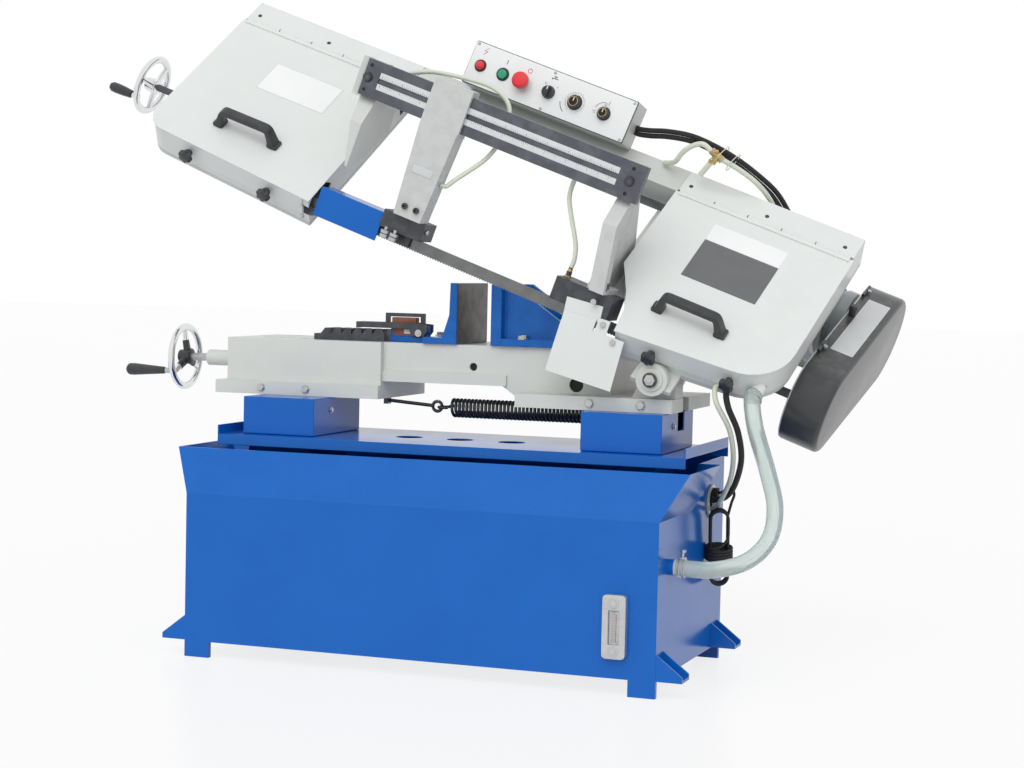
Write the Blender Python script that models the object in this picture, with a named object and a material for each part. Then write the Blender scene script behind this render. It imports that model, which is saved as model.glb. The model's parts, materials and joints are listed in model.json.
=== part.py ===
"""Horizontal metal-cutting band saw on a cabinet stand, at rest with its bow raised.

Metres, +Z up, +X to the right of the operator, +Y away from the operator. Every piece is drawn in one of four
frames: the stand, the bow (turned about the pivot), the wheel boxes (leaned back about the bow), and the panel.
"""

import math

import bmesh
import bpy
from mathutils import Matrix, Vector

GAP = 0.0003          # between faces that touch
RUNNING = 0.0003      # radial clearance of a shaft in its bore
ROUND = 20            # sides of an ordinary round piece

# Stand
CABINET_W = 1.06
CABINET_D = 0.514
BODY_TOP = 0.355
RIM_TOP = 0.450
RIM_FLARE = 0.048
RIM_LEAN = 0.050
FLARE_DEPTH = 0.250
SHEET = 0.003
PLINTH = 0.0345
FOOT_W = 0.058
FOOT_DEPTH = 0.012
LUG = 0.055
POST_WALL = 0.004
DRAIN_Y = 0.080
DRAIN_Z = 0.257
DRAIN_BORE = 0.0125
DRAIN_STUB = 0.0120
GLAND_Y = 0.405
GLAND_Z = 0.360
GLAND_R = 0.028
GAUGE_X = (0.4205, 0.4695)
GAUGE_Z = (0.0770, 0.2065)
GAUGE_DEPTH = 0.0183

# Chip pan and pedestals
PAN_X = (-0.506, 0.555)
PAN_Y = (0.0925, 0.448)
PAN_Z = 0.4752
PAN_RIM = 0.020
PEDESTAL_Y = (0.137, 0.384)
LEFT_PEDESTAL_X = (-0.4665, -0.2956)
RIGHT_PEDESTAL_X = (0.3151, 0.4911)
PEDESTAL_WALL = 0.005

# Bed
BED_BOTTOM = 0.561
BED_X = (-0.579, 0.500)
BED_BACK = 0.490
BED_TOP = 0.686
FLANGE = 0.029
BLOCK_FRONT = 0.232
MIDDLE_BOTTOM = 0.600
MIDDLE_X = (-0.180, 0.110)
BED_WALL = 0.012

# Vise
SCREW_Y = 0.300
SCREW_Z = 0.635
SCREW_R = 0.009
SPRING_Y = 0.2880
SPRING_Z = 0.5455
JAW_Y = (0.240, 0.430)
JAW_TOP = 0.820
MOVING_FACE_X = -0.0063
FIXED_FACE_X = 0.0730
VISE_WHEEL_X = -0.700
VISE_WHEEL_R = 0.075
GRIP_FROM = 0.020
GRIP_L = 0.095
SPINDLE_R = 0.0033

# Bow
PIVOT = (0.465, 0.120, 0.632)
PIVOT_R = 0.014
BOSS_R = 0.034
RAISED = math.radians(20.3)
LUG_W = ((0.0215, 0.0865), (0.1455, 0.1650))
LEVER_PIN = (0.0310, -0.0807)

# Wheel boxes, leaned back about the length of the bow
LEAN = math.radians(47.0)
AXLE_LINE = (0.1903, 0.1881)      # y and z of the wheel centres in the bow frame
WHEEL_R = 0.1848
WHEEL_W = 0.030
LEFT_BOX_X = (-1.302, -0.854)
RIGHT_BOX_X = (-0.1745, 0.241)
IDLER_X = -1.078
DRIVE_X = 0.033
AXLE_R = 0.0122
TENSION_Y = 0.0600
TENSION_R = 0.0080
TENSION_WHEEL_X = -1.4290
DOOR_TOP = 0.2134
BOX_TOP = 0.2830
DOOR_OUT = 0.0387
BOX_BACK = 0.0307
BACK_PLATE = 0.010
BOX_WALL = 0.003
DOOR_SHEET = 0.0025
KNOB_Y = -0.0160
INNER_BOTTOM = -0.217
OUTER_BOTTOM = -0.190
LEFT_CORNER_R = 0.050
RIGHT_CORNER_R = 0.100

# Blade and guides
BAND_T = 0.0014
BAND_W = 0.027
BAND_STEPS = 40
BAND_R = WHEEL_R + GAP + BAND_T / 2
BLADE_Y = AXLE_LINE[0] - BAND_R * math.sin(LEAN)
BLADE_Z = AXLE_LINE[1] - BAND_R * math.cos(LEAN)
SEAT_TOP = 0.1250
LEFT_SEAT_TOP = 0.1147
GUIDE_X = (-0.640, -0.200)
BAR_X = (-0.829, -0.162)
BAR_Y = (0.006, 0.024)
BAR_Z = (0.3225, 0.4025)
ARM_X = (-0.667, -0.575)
POST_X = (-0.208, -0.1765)
BRACKET_RIGHT = -0.7900

# Controls
PANEL_X = (-0.729, -0.322)
PANEL_LOW = (0.290, 0.413)
PANEL_LEAN = math.radians(8.0)
PANEL_H = 0.100
PANEL_DEPTH = 0.0762

# Drive
NOSE = (0.268, 0.052)             # y and z of the gearbox pulley in the bow frame
TAIL = (0.600, 0.200)             # y and z of the motor pulley in the bow frame
NOSE_R = 0.093
TAIL_R = 0.105
GUARD_X = 0.2475
GUARD_DEPTH = 0.0875
MOTOR_R = 0.080
GEAR_INPUT = (0.1525, -0.0360)    # y and z of the gearbox's input shaft in the wheel boxes' frame
MOTOR_AXIS = (0.2707, 0.3076)

# Cords, as points in the stand's frame
DRAIN_D = 0.0350
DRAIN_ROUTE = ((0.6749, 0.1808, 0.6086), (0.6710, 0.1686, 0.5979), (0.6830, 0.1560, 0.5400), (0.7090, 0.1620, 0.4550),
               (0.7280, 0.1560, 0.3830), (0.7230, 0.1340, 0.3200), (0.6850, 0.1050, 0.2760), (0.6200, 0.0800, 0.2570),
               (0.5426, 0.0800, 0.2570))
COOLANT_D = 0.0110
COOLANT_ROUTE = ((0.5955, 0.1803, 0.6244), (0.5922, 0.1703, 0.6157), (0.5990, 0.1620, 0.5880), (0.6200, 0.1900, 0.5340),
                 (0.6200, 0.2300, 0.4780), (0.6000, 0.2900, 0.4200), (0.5630, 0.3500, 0.3640), (0.5400, 0.3940, 0.3440),
                 (0.5180, 0.4120, 0.3420))
CONDUIT_D = 0.0130
CONDUIT_ROUTE = ((0.6194, 0.1818, 0.6171), (0.6159, 0.1710, 0.6076), (0.6230, 0.1680, 0.5780), (0.6350, 0.2030, 0.5290),
                 (0.6340, 0.2440, 0.4700), (0.6080, 0.3040, 0.4120), (0.5760, 0.3620, 0.3780), (0.5480, 0.3880, 0.3660),
                 (0.5180, 0.3930, 0.3620))
POWER_D = 0.0080
POWER_ROUTE = ((0.5180, 0.4060, 0.3790), (0.5480, 0.4060, 0.3790), (0.5660, 0.3970, 0.3870), (0.5820, 0.3780, 0.3925),
               (0.5925, 0.3600, 0.3820), (0.5880, 0.3520, 0.3640), (0.5745, 0.3510, 0.3530), (0.5635, 0.3528, 0.3494))
HANK = ((0.5610, 0.3530, 0.3450), (0.5560, 0.3870, 0.1720))

# Cords that ride on the bow, as points in the bow's frame
GUIDE_HOSE_D = 0.0100
LEFT_HOSE_ROUTE = ((-0.5822, 0.0220, 0.2060), (-0.5700, 0.0220, 0.2090), (-0.5560, 0.0260, 0.2300), (-0.5350, 0.0340, 0.2600),
                   (-0.5160, 0.0420, 0.2900), (-0.5030, 0.0460, 0.3250), (-0.4990, 0.0480, 0.3600), (-0.5020, 0.0520, 0.3900),
                   (-0.5140, 0.0560, 0.4140), (-0.5400, 0.0590, 0.4300), (-0.5770, 0.0600, 0.4365), (-0.6410, 0.0600, 0.4313),
                   (-0.7000, 0.0580, 0.4210), (-0.7350, 0.0540, 0.4070), (-0.7620, 0.0490, 0.3930), (-0.7780, 0.0460, 0.3900), (-0.7893, 0.0450, 0.3900))
RIGHT_HOSE_ROUTE = ((-0.2560, 0.0500, 0.1476), (-0.2555, 0.0500, 0.1640), (-0.2620, 0.0500, 0.1900), (-0.2760, 0.0500, 0.2160),
                    (-0.2960, 0.0500, 0.2480), (-0.3130, 0.0500, 0.2800), (-0.3160, 0.0470, 0.3080), (-0.3100, 0.0390, 0.3350),
                    (-0.3010, 0.0320, 0.3580), (-0.2930, 0.0297, 0.3740), (-0.2850, 0.0297, 0.3900))
BOW_CABLES_D = 0.0240
BOW_CABLES_ROUTE = ((-0.3214, 0.3500, 0.4500), (-0.3100, 0.3500, 0.4500), (-0.2850, 0.3490, 0.4560), (-0.2480, 0.3450, 0.4675), (-0.1950, 0.3420, 0.4770),
                    (-0.1400, 0.3430, 0.4750), (-0.0850, 0.3580, 0.4650), (-0.0350, 0.3850, 0.4480), (0.0050, 0.4250, 0.4270),
                    (0.0350, 0.4600, 0.3980), (0.0600, 0.4900, 0.3660), (0.0800, 0.5200, 0.3300), (0.0950, 0.5440, 0.2940),
                    (0.1000, 0.5606, 0.2684))

BLUE = ("stand_blue", (0.022, 0.105, 0.430), 0.35, 0.0)
GREY = ("casting_grey", (0.560, 0.570, 0.545), 0.50, 0.0)
COVER = ("cover_grey", (0.640, 0.650, 0.630), 0.42, 0.0)
BLACK = ("black_plastic", (0.030, 0.031, 0.034), 0.45, 0.0)
GUARD_BLACK = ("guard_black", (0.045, 0.048, 0.052), 0.38, 0.0)
IRON = ("blackened_steel", (0.055, 0.056, 0.060), 0.50, 0.6)
STEEL = ("ground_steel", (0.520, 0.520, 0.530), 0.35, 1.0)
CHROME = ("bright_metal", (0.800, 0.800, 0.810), 0.18, 1.0)
CAST = ("bare_iron", (0.230, 0.225, 0.215), 0.60, 0.7)
RUST = ("gearbox_red", (0.300, 0.080, 0.050), 0.55, 0.0)
MOTOR = ("motor_grey", (0.300, 0.320, 0.330), 0.50, 0.0)
RUBBER = ("black_rubber", (0.020, 0.020, 0.021), 0.70, 0.0)
CLEAR = ("clear_hose", (0.700, 0.760, 0.720), 0.20, 0.0)
MILKY = ("milky_hose", (0.740, 0.760, 0.660), 0.35, 0.0)
GREEN = ("start_green", (0.010, 0.300, 0.110), 0.35, 0.0)
RED = ("stop_red", (0.700, 0.030, 0.030), 0.35, 0.0)
LENS = ("gauge_metal", (0.650, 0.660, 0.670), 0.30, 0.8)


# ---------------------------------------------------------------- shapes: (points, faces) pairs


def block(x0, x1, y0, y1, z0, z1):
    """A box between two values on each axis."""
    return prism([(x0, y0), (x1, y0), (x1, y1), (x0, y1)], "Z", z0, z1)


def prism(outline, axis, start, end):
    """A flat outline carried along an axis; it lies in the other two axes, in the order X, Y, Z."""
    order = {"X": (2, 0, 1), "Y": (0, 2, 1), "Z": (0, 1, 2)}[axis]
    points = []
    for level in (start, end):
        for a, b in outline:
            raw = (a, b, level)
            points.append(tuple(raw[order[i]] for i in range(3)))
    count = len(outline)
    faces = [tuple(range(count)), tuple(range(count, 2 * count))]
    faces += [(i, (i + 1) % count, count + (i + 1) % count, count + i) for i in range(count)]
    return points, faces


def loft(rings):
    """Closed rings of equal length joined one to the next, with flat ends."""
    count = len(rings[0])
    points = [p for ring in rings for p in ring]
    last = (len(rings) - 1) * count
    faces = [tuple(range(count)), tuple(range(last, last + count))]
    for row in range(len(rings) - 1):
        for i in range(count):
            j = (i + 1) % count
            faces.append((row * count + i, row * count + j, (row + 1) * count + j, (row + 1) * count + i))
    return points, faces


def rectangle(x0, x1, y0, y1, z):
    return [(x0, y0, z), (x1, y0, z), (x1, y1, z), (x0, y1, z)]


def turned(profile, centre, direction, sides=ROUND, closed=False):
    """A profile of (distance along, radius) pairs turned about a line; closed makes a ring of it."""
    axis = Vector(direction).normalized()
    side = axis.orthogonal().normalized()
    other = axis.cross(side)
    base = Vector(centre)
    rings = []
    for along, radius in profile:
        rings.append([
            tuple(base + axis * along + (side * math.cos(t) + other * math.sin(t)) * radius)
            for t in (2 * math.pi * i / sides for i in range(sides))
        ])
    if not closed:
        return loft(rings)
    points = [p for ring in rings for p in ring]
    faces = []
    for row in range(len(rings)):
        after = (row + 1) % len(rings)
        for i in range(sides):
            j = (i + 1) % sides
            faces.append((row * sides + i, row * sides + j, after * sides + j, after * sides + i))
    return points, faces


def rod(start, end, radius, sides=ROUND):
    length = (Vector(end) - Vector(start)).length
    return turned([(0, radius), (length, radius)], start, Vector(end) - Vector(start), sides)


def torus(centre, direction, ring_r, wire_r, sides=24, around=6):
    profile = [
        (wire_r * math.sin(t), ring_r + wire_r * math.cos(t))
        for t in (2 * math.pi * i / around for i in range(around))
    ]
    return turned(profile, centre, direction, sides, closed=True)


def arc(centre, radius, start_deg, end_deg, steps):
    """Points on an arc, from one angle to the other."""
    return [
        (centre[0] + radius * math.cos(a), centre[1] + radius * math.sin(a))
        for a in (math.radians(start_deg + (end_deg - start_deg) * i / steps) for i in range(steps + 1))
    ]


def hull_of_two(first, first_r, second, second_r, steps=8):
    """The outline of a belt around two circles."""
    dx, dy = second[0] - first[0], second[1] - first[1]
    heading = math.degrees(math.atan2(dy, dx))
    lean = math.degrees(math.asin((second_r - first_r) / math.hypot(dx, dy)))
    near = arc(first, first_r, heading + 90 + lean, heading + 270 - lean, steps)
    far = arc(second, second_r, heading - 90 - lean, heading + 90 + lean, steps)
    return near + far


# ---------------------------------------------------------------- objects


def clear_scene():
    for obj in list(bpy.data.objects):
        bpy.data.objects.remove(obj, do_unlink=True)


def material(spec):
    name, colour, roughness, metallic = spec
    found = bpy.data.materials.get(name)
    if found:
        return found
    made = bpy.data.materials.new(name)
    made.use_nodes = True
    shader = made.node_tree.nodes["Principled BSDF"]
    shader.inputs["Base Color"].default_value = (*colour, 1.0)
    shader.inputs["Roughness"].default_value = roughness
    shader.inputs["Metallic"].default_value = metallic
    made.diffuse_color = (*colour, 1.0)
    return made


def empty(name, parent=None, at=(0, 0, 0), turn=(0, 0, 0)):
    obj = bpy.data.objects.new(name, None)
    obj.location = at
    obj.rotation_euler = turn
    obj.parent = parent
    bpy.context.scene.collection.objects.link(obj)
    return obj


def mesh_object(name, shape, parent, origin=(0, 0, 0)):
    """An object holding one closed shape, its faces outwards and its own origin at the given point."""
    points, faces = shape
    mesh = bpy.data.meshes.new(name)
    build = bmesh.new()
    made = [build.verts.new(Vector(p) - Vector(origin)) for p in points]
    for face in faces:
        build.faces.new([made[i] for i in face])
    bmesh.ops.remove_doubles(build, verts=build.verts, dist=1e-6)
    bmesh.ops.recalc_face_normals(build, faces=build.faces)
    build.to_mesh(mesh)
    build.free()
    obj = bpy.data.objects.new(name, mesh)
    obj.location = origin
    obj.parent = parent
    bpy.context.scene.collection.objects.link(obj)
    return obj


def piece(name, look, parent, shape, add=(), cut=(), then=(), origin=(0, 0, 0)):
    """One node, in the parent's frame: a shape, what joins it, what is cut from it and what joins it then."""
    obj = mesh_object(name, shape, parent, origin)
    obj.data.materials.append(material(look))
    for label, operation, shapes in (("add", "UNION", add), ("cut", "DIFFERENCE", cut), ("then", "UNION", then)):
        for number, other in enumerate(shapes):
            helper = mesh_object(f"{name}_{label}_{number}", other, parent)
            helper.hide_render = True
            helper.display_type = "WIRE"
            step = obj.modifiers.new(helper.name, "BOOLEAN")
            step.operation = operation
            step.object = helper
    smooth = obj.modifiers.new("even_shading", "WEIGHTED_NORMAL")
    smooth.keep_sharp = True
    return obj


def cord(name, look, parent, route, diameter):
    """A tube on a smooth curve through the route's points, with a point every two to three diameters."""
    knots = [Vector(p) for p in route]
    ends = [knots[0] * 2 - knots[1]] + knots + [knots[-1] * 2 - knots[-2]]
    smooth = [knots[0]]
    for i in range(1, len(ends) - 2):
        a, b, c, d = ends[i - 1:i + 3]
        steps = max(1, round((c - b).length / (2.4 * diameter)))
        for k in range(1, steps + 1):
            t = k / steps
            smooth.append(0.5 * (2 * b + (c - a) * t + (2 * a - 5 * b + 4 * c - d) * t ** 2
                                 + (3 * b - a - 3 * c + d) * t ** 3))
    curve = bpy.data.curves.new(name, "CURVE")
    curve.dimensions = "3D"
    curve.bevel_depth = diameter / 2
    curve.bevel_resolution = 2
    curve.use_fill_caps = True
    spline = curve.splines.new("POLY")
    spline.points.add(len(smooth) - 1)
    for point, place in zip(spline.points, smooth):
        point.co = (*place, 1.0)
    obj = bpy.data.objects.new(name, curve)
    obj.parent = parent
    curve.materials.append(material(look))
    bpy.context.scene.collection.objects.link(obj)
    return obj


# ---------------------------------------------------------------- stand


def shell_outline(inset):
    """The side view of the cabinet, (y, z), with its front leaning back above the body."""
    lean = math.atan2(RIM_LEAN, RIM_TOP - BODY_TOP)
    top = RIM_TOP + (0.05 if inset else 0)
    reach = (top - BODY_TOP) * math.tan(lean)
    bottom = PLINTH + inset if inset else 0
    return [(inset, bottom), (CABINET_D - inset, bottom), (CABINET_D - inset, top),
            (inset + reach, top), (inset, BODY_TOP)]


def flare(inset):
    """The part of the hopper that widens towards both ends."""
    half = CABINET_W / 2 - inset
    rise = RIM_TOP - BODY_TOP
    top = rise + (0.02 if inset else 0)
    share = top / rise
    out = half + RIM_FLARE * share
    return loft([
        rectangle(-half, half, inset, FLARE_DEPTH - inset, BODY_TOP),
        rectangle(-out, out, inset + RIM_LEAN * share, FLARE_DEPTH + RIM_LEAN * share - inset, RIM_TOP + top - rise),
    ])


def foot_lug(side, y):
    """A bolt-down lug: a sole plate with a gusset at each edge."""
    wall = side * (CABINET_W / 2 - 0.001)
    tip = side * (CABINET_W / 2 + LUG)
    low, high = sorted((wall, tip))
    sole = PLINTH + 0.001
    shapes = [block(low, high, y, y + LUG, sole, sole + 0.006)]
    for edge in (y, y + LUG - 0.005):
        outline = [(wall, sole), (tip, sole), (tip, sole + 0.012), (wall, sole + LUG)]
        shapes.append(prism(outline, "Y", edge, edge + 0.005))
    return shapes


def post(span):
    """A box post under one pedestal, as (solid, hollow)."""
    x0, x1 = span[0] + 0.02, span[1] - 0.02
    y0, y1 = PEDESTAL_Y[0] + 0.02, PEDESTAL_Y[1] - 0.02
    wall = POST_WALL
    return (block(x0, x1, y0, y1, PLINTH + 0.001, PAN_Z - GAP),
            block(x0 + wall, x1 - wall, y0 + wall, y1 - wall, PLINTH + SHEET + 0.004, PAN_Z + 0.01))


def build_cabinet(stand):
    half = CABINET_W / 2
    posts = [post(LEFT_PEDESTAL_X), post(RIGHT_PEDESTAL_X)]
    lugs = [s for side in (-1, 1) for y in (0.001, 0.435) for s in foot_lug(side, y)]
    drain = (half - 0.004, DRAIN_Y, DRAIN_Z)
    hollow = [
        prism(shell_outline(SHEET), "X", -half + SHEET, half - SHEET),
        flare(SHEET),
        block(-half - 0.01, half + 0.01, FOOT_DEPTH, CABINET_D - FOOT_DEPTH, -0.01, PLINTH),
        block(-half + FOOT_W, half - FOOT_W, -0.01, CABINET_D + 0.01, -0.01, PLINTH),
    ]
    shell = piece("cabinet_shell", BLUE, stand, prism(shell_outline(0), "X", -half, half), [flare(0)], hollow)
    shell.hide_render = True
    shell.display_type = "WIRE"
    cabinet = piece(
        "cabinet", BLUE, stand, posts[0][0],
        [posts[1][0]] + lugs + [rod(drain, (half + DRAIN_STUB, DRAIN_Y, DRAIN_Z), DRAIN_BORE + 0.004)],
        [posts[0][1], posts[1][1],
         rod((half - 0.02, DRAIN_Y, DRAIN_Z), (half + 0.07, DRAIN_Y, DRAIN_Z), DRAIN_BORE)]
        + [rod((s * (half + 0.032), y, PLINTH - 0.01), (s * (half + 0.032), y, PLINTH + 0.02), 0.007, 12)
           for s in (-1, 1) for y in (0.0285, 0.4625)],
    )
    join = cabinet.modifiers.new("shell", "BOOLEAN")
    join.operation = "UNION"
    join.object = shell
    hole = mesh_object("gland_hole", rod((half - 0.02, GLAND_Y, GLAND_Z), (half + 0.02, GLAND_Y, GLAND_Z),
                                         GLAND_R + 0.0038), stand)
    hole.hide_render = True
    hole.display_type = "WIRE"
    bore = cabinet.modifiers.new("gland_hole", "BOOLEAN")
    bore.operation = "DIFFERENCE"
    bore.object = hole
    cabinet.modifiers.move(cabinet.modifiers.find("shell"), 0)


def build_cabinet_fittings(stand):
    half = CABINET_W / 2
    x0, x1 = GAUGE_X
    z0, z1 = GAUGE_Z
    piece("level_gauge", LENS, stand, block(x0, x1, -GAUGE_DEPTH, -GAP, z0, z1),
          cut=[block(x0 + 0.012, x1 - 0.012, -0.03, -GAUGE_DEPTH + 0.004, z0 + 0.022, z1 - 0.022)])
    wall = half - SHEET
    ring = turned([(half + GAP, GLAND_R), (half + GAP, GLAND_R + 0.009), (half + 0.0045, GLAND_R + 0.009),
                   (half + 0.0045, GLAND_R)], (0, GLAND_Y, GLAND_Z), (1, 0, 0), closed=True)
    neck = turned([(wall - 0.001, GLAND_R), (wall - 0.001, GLAND_R + 0.0035), (half + 0.001, GLAND_R + 0.0035),
                   (half + 0.001, GLAND_R)], (0, GLAND_Y, GLAND_Z), (1, 0, 0), closed=True)
    relief = block(wall + 0.001, half + 0.016, 0.396, 0.416, 0.3705, GLAND_Z + GLAND_R + 0.0008)
    piece("cable_gland", RUBBER, stand, ring, [neck, relief],
          [rod((wall - 0.01, *POWER_ROUTE[0][1:]), (half + 0.02, *POWER_ROUTE[0][1:]), POWER_D / 2 + 0.0012, 12)])


def build_pan_and_pedestals(stand):
    x0, x1 = PAN_X
    y0, y1 = PAN_Y
    top = PAN_Z + SHEET
    piece("chip_pan", BLUE, stand, block(x0, x1, y0, y1, PAN_Z, top), [
        block(x0, x0 + SHEET, y0, y1, PAN_Z, top + PAN_RIM),
        block(x1 - SHEET, x1, y0, y1, PAN_Z, top + PAN_RIM),
        block(x0, x1, y0, y0 + SHEET, PAN_Z - PAN_RIM, top),
        block(x0, x1, y1 - SHEET, y1, PAN_Z - PAN_RIM, top),
    ], [rod((x, 0.26, PAN_Z - 0.01), (x, 0.26, top + 0.01), 0.030) for x in (-0.12, 0.0, 0.12)])
    wall = PEDESTAL_WALL
    for name, (a, b) in (("left_pedestal", LEFT_PEDESTAL_X), ("right_pedestal", RIGHT_PEDESTAL_X)):
        low, high = top + GAP, BED_BOTTOM - GAP
        cuts = [block(a + wall, b - wall, PEDESTAL_Y[0] + wall, PEDESTAL_Y[1] - wall, low - 0.01, high - wall)]
        if name == "right_pedestal":
            cuts.append(block(a - 0.01, a + 0.02, 0.250, 0.340, low + 0.02, high - wall))
            cuts.append(block(0.408, b + 0.01, 0.262, 0.310, 0.520, high + 0.01))
        piece(name, BLUE, stand, block(a, b, *PEDESTAL_Y, low, high), cut=cuts)


# ---------------------------------------------------------------- bed and vise


def build_bed(stand):
    x0, x1 = BED_X
    m0, m1 = MIDDLE_X
    back = BED_BACK
    rise = BED_BOTTOM + FLANGE
    wall = BED_WALL
    front = BLOCK_FRONT + 0.016
    px, _, pz = PIVOT
    barrel_y = (PIVOT[1] + LUG_W[0][1] + GAP, PIVOT[1] + LUG_W[1][0] - GAP)
    barrel = ([(px - 0.062, rise - 0.002), (px + 0.034, rise - 0.002)]
              + arc((px, pz), BOSS_R, 0, 180, 10) + [(px - 0.045, pz - 0.012)])
    slope = prism([(m1 - 0.010, MIDDLE_BOTTOM), (m1 + 0.045, rise - 0.028), (m1 + 0.080, rise - 0.028),
                   (m1 + 0.080, MIDDLE_BOTTOM + 0.02), (m1 - 0.010, MIDDLE_BOTTOM + 0.02)], "Y", front, back - 0.005)
    solids = [
        block(x0 + 0.023, m0, BLOCK_FRONT, back - 0.005, rise - 0.002, BED_TOP),
        block(m0 - 0.002, 0.345, front, back - 0.005, MIDDLE_BOTTOM, BED_TOP),
        block(m0 - 0.002, m1, front - 0.006, front + 0.01, MIDDLE_BOTTOM, MIDDLE_BOTTOM + 0.024),
        slope,
        block(m1 + 0.045, 0.345, front, back - 0.005, rise - 0.002, BED_TOP),
        block(m1 + 0.045, x1, 0.175, back, BED_BOTTOM, rise),
        prism(barrel, "Y", *barrel_y),
        rod((x0 - 0.058, SCREW_Y, SCREW_Z), (x0 + 0.030, SCREW_Y, SCREW_Z), SCREW_R + 0.009),
    ]
    eye = [
        rod((m0 - 0.006, SPRING_Y, 0.556), (-0.075, SPRING_Y, 0.548), 0.004, 8),
        block(m0 - 0.011, m0 - 0.001, SPRING_Y - 0.010, SPRING_Y + 0.010, 0.548, rise + 0.010),
        torus((-0.066, SPRING_Y, 0.547), (0, 1, 0), 0.011, 0.0038, 16, 6),
    ]
    cuts = [
        block(x0 + 0.023 + wall, m0 - wall, BLOCK_FRONT + wall, back - 0.005 - wall, BED_BOTTOM - 0.01,
              BED_TOP - wall),
        block(m0 + 0.004, 0.345 - wall, front + wall, back - 0.005 - wall, BED_BOTTOM - 0.01, BED_TOP - wall),
        block(-0.500, -0.200, SCREW_Y - 0.011, SCREW_Y + 0.011, BED_TOP - 0.02, BED_TOP + 0.01),
        rod((x0 - 0.07, SCREW_Y, SCREW_Z), (x0 + 0.05, SCREW_Y, SCREW_Z), SCREW_R + RUNNING),
        rod((px, 0.1, pz), (px, 0.3, pz), PIVOT_R + RUNNING),
        block(0.408, x1 + 0.01, barrel_y[1], 0.310, BED_BOTTOM - 0.01, rise + 0.01),
        rod((0.032, 0.2, 0.639), (0.032, 0.262, 0.639), 0.009, 16),
        rod((0.268, 0.2, 0.609), (0.268, 0.262, 0.609), 0.016, 16),
    ]
    piece("bed", GREY, stand, block(x0, m0, BLOCK_FRONT - 0.013, back, BED_BOTTOM, rise), solids, cuts, eye)
    length = LUG_W[1][1] - LUG_W[0][0]
    piece("pivot_shaft", STEEL, stand,
          turned([(-0.0038, 0.0240), (-GAP, 0.0240), (-GAP, PIVOT_R), (length, PIVOT_R)],
                 (px, PIVOT[1] + LUG_W[0][0], pz), (0, 1, 0)),
          [turned([(-0.012, 0.011), (-0.002, 0.011)], (px, PIVOT[1] + LUG_W[0][0], pz), (0, 1, 0), 6)])


def build_spring(stand):
    y = SPRING_Y
    z = SPRING_Z
    coil = rod((-0.030, y, z), (0.305, y, z), 0.022)
    left = torus((-0.0456, y, z), (0, 0, 1), 0.0165, 0.0026, 16, 6)
    stem = rod((0.300, y, z), (0.4485, y, z), 0.0035, 8)
    right = torus((0.4605, y, z), (0, 1, 0), 0.0125, 0.0026, 16, 6)
    piece("counter_spring", IRON, stand, coil, [left, stem, right])


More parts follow.
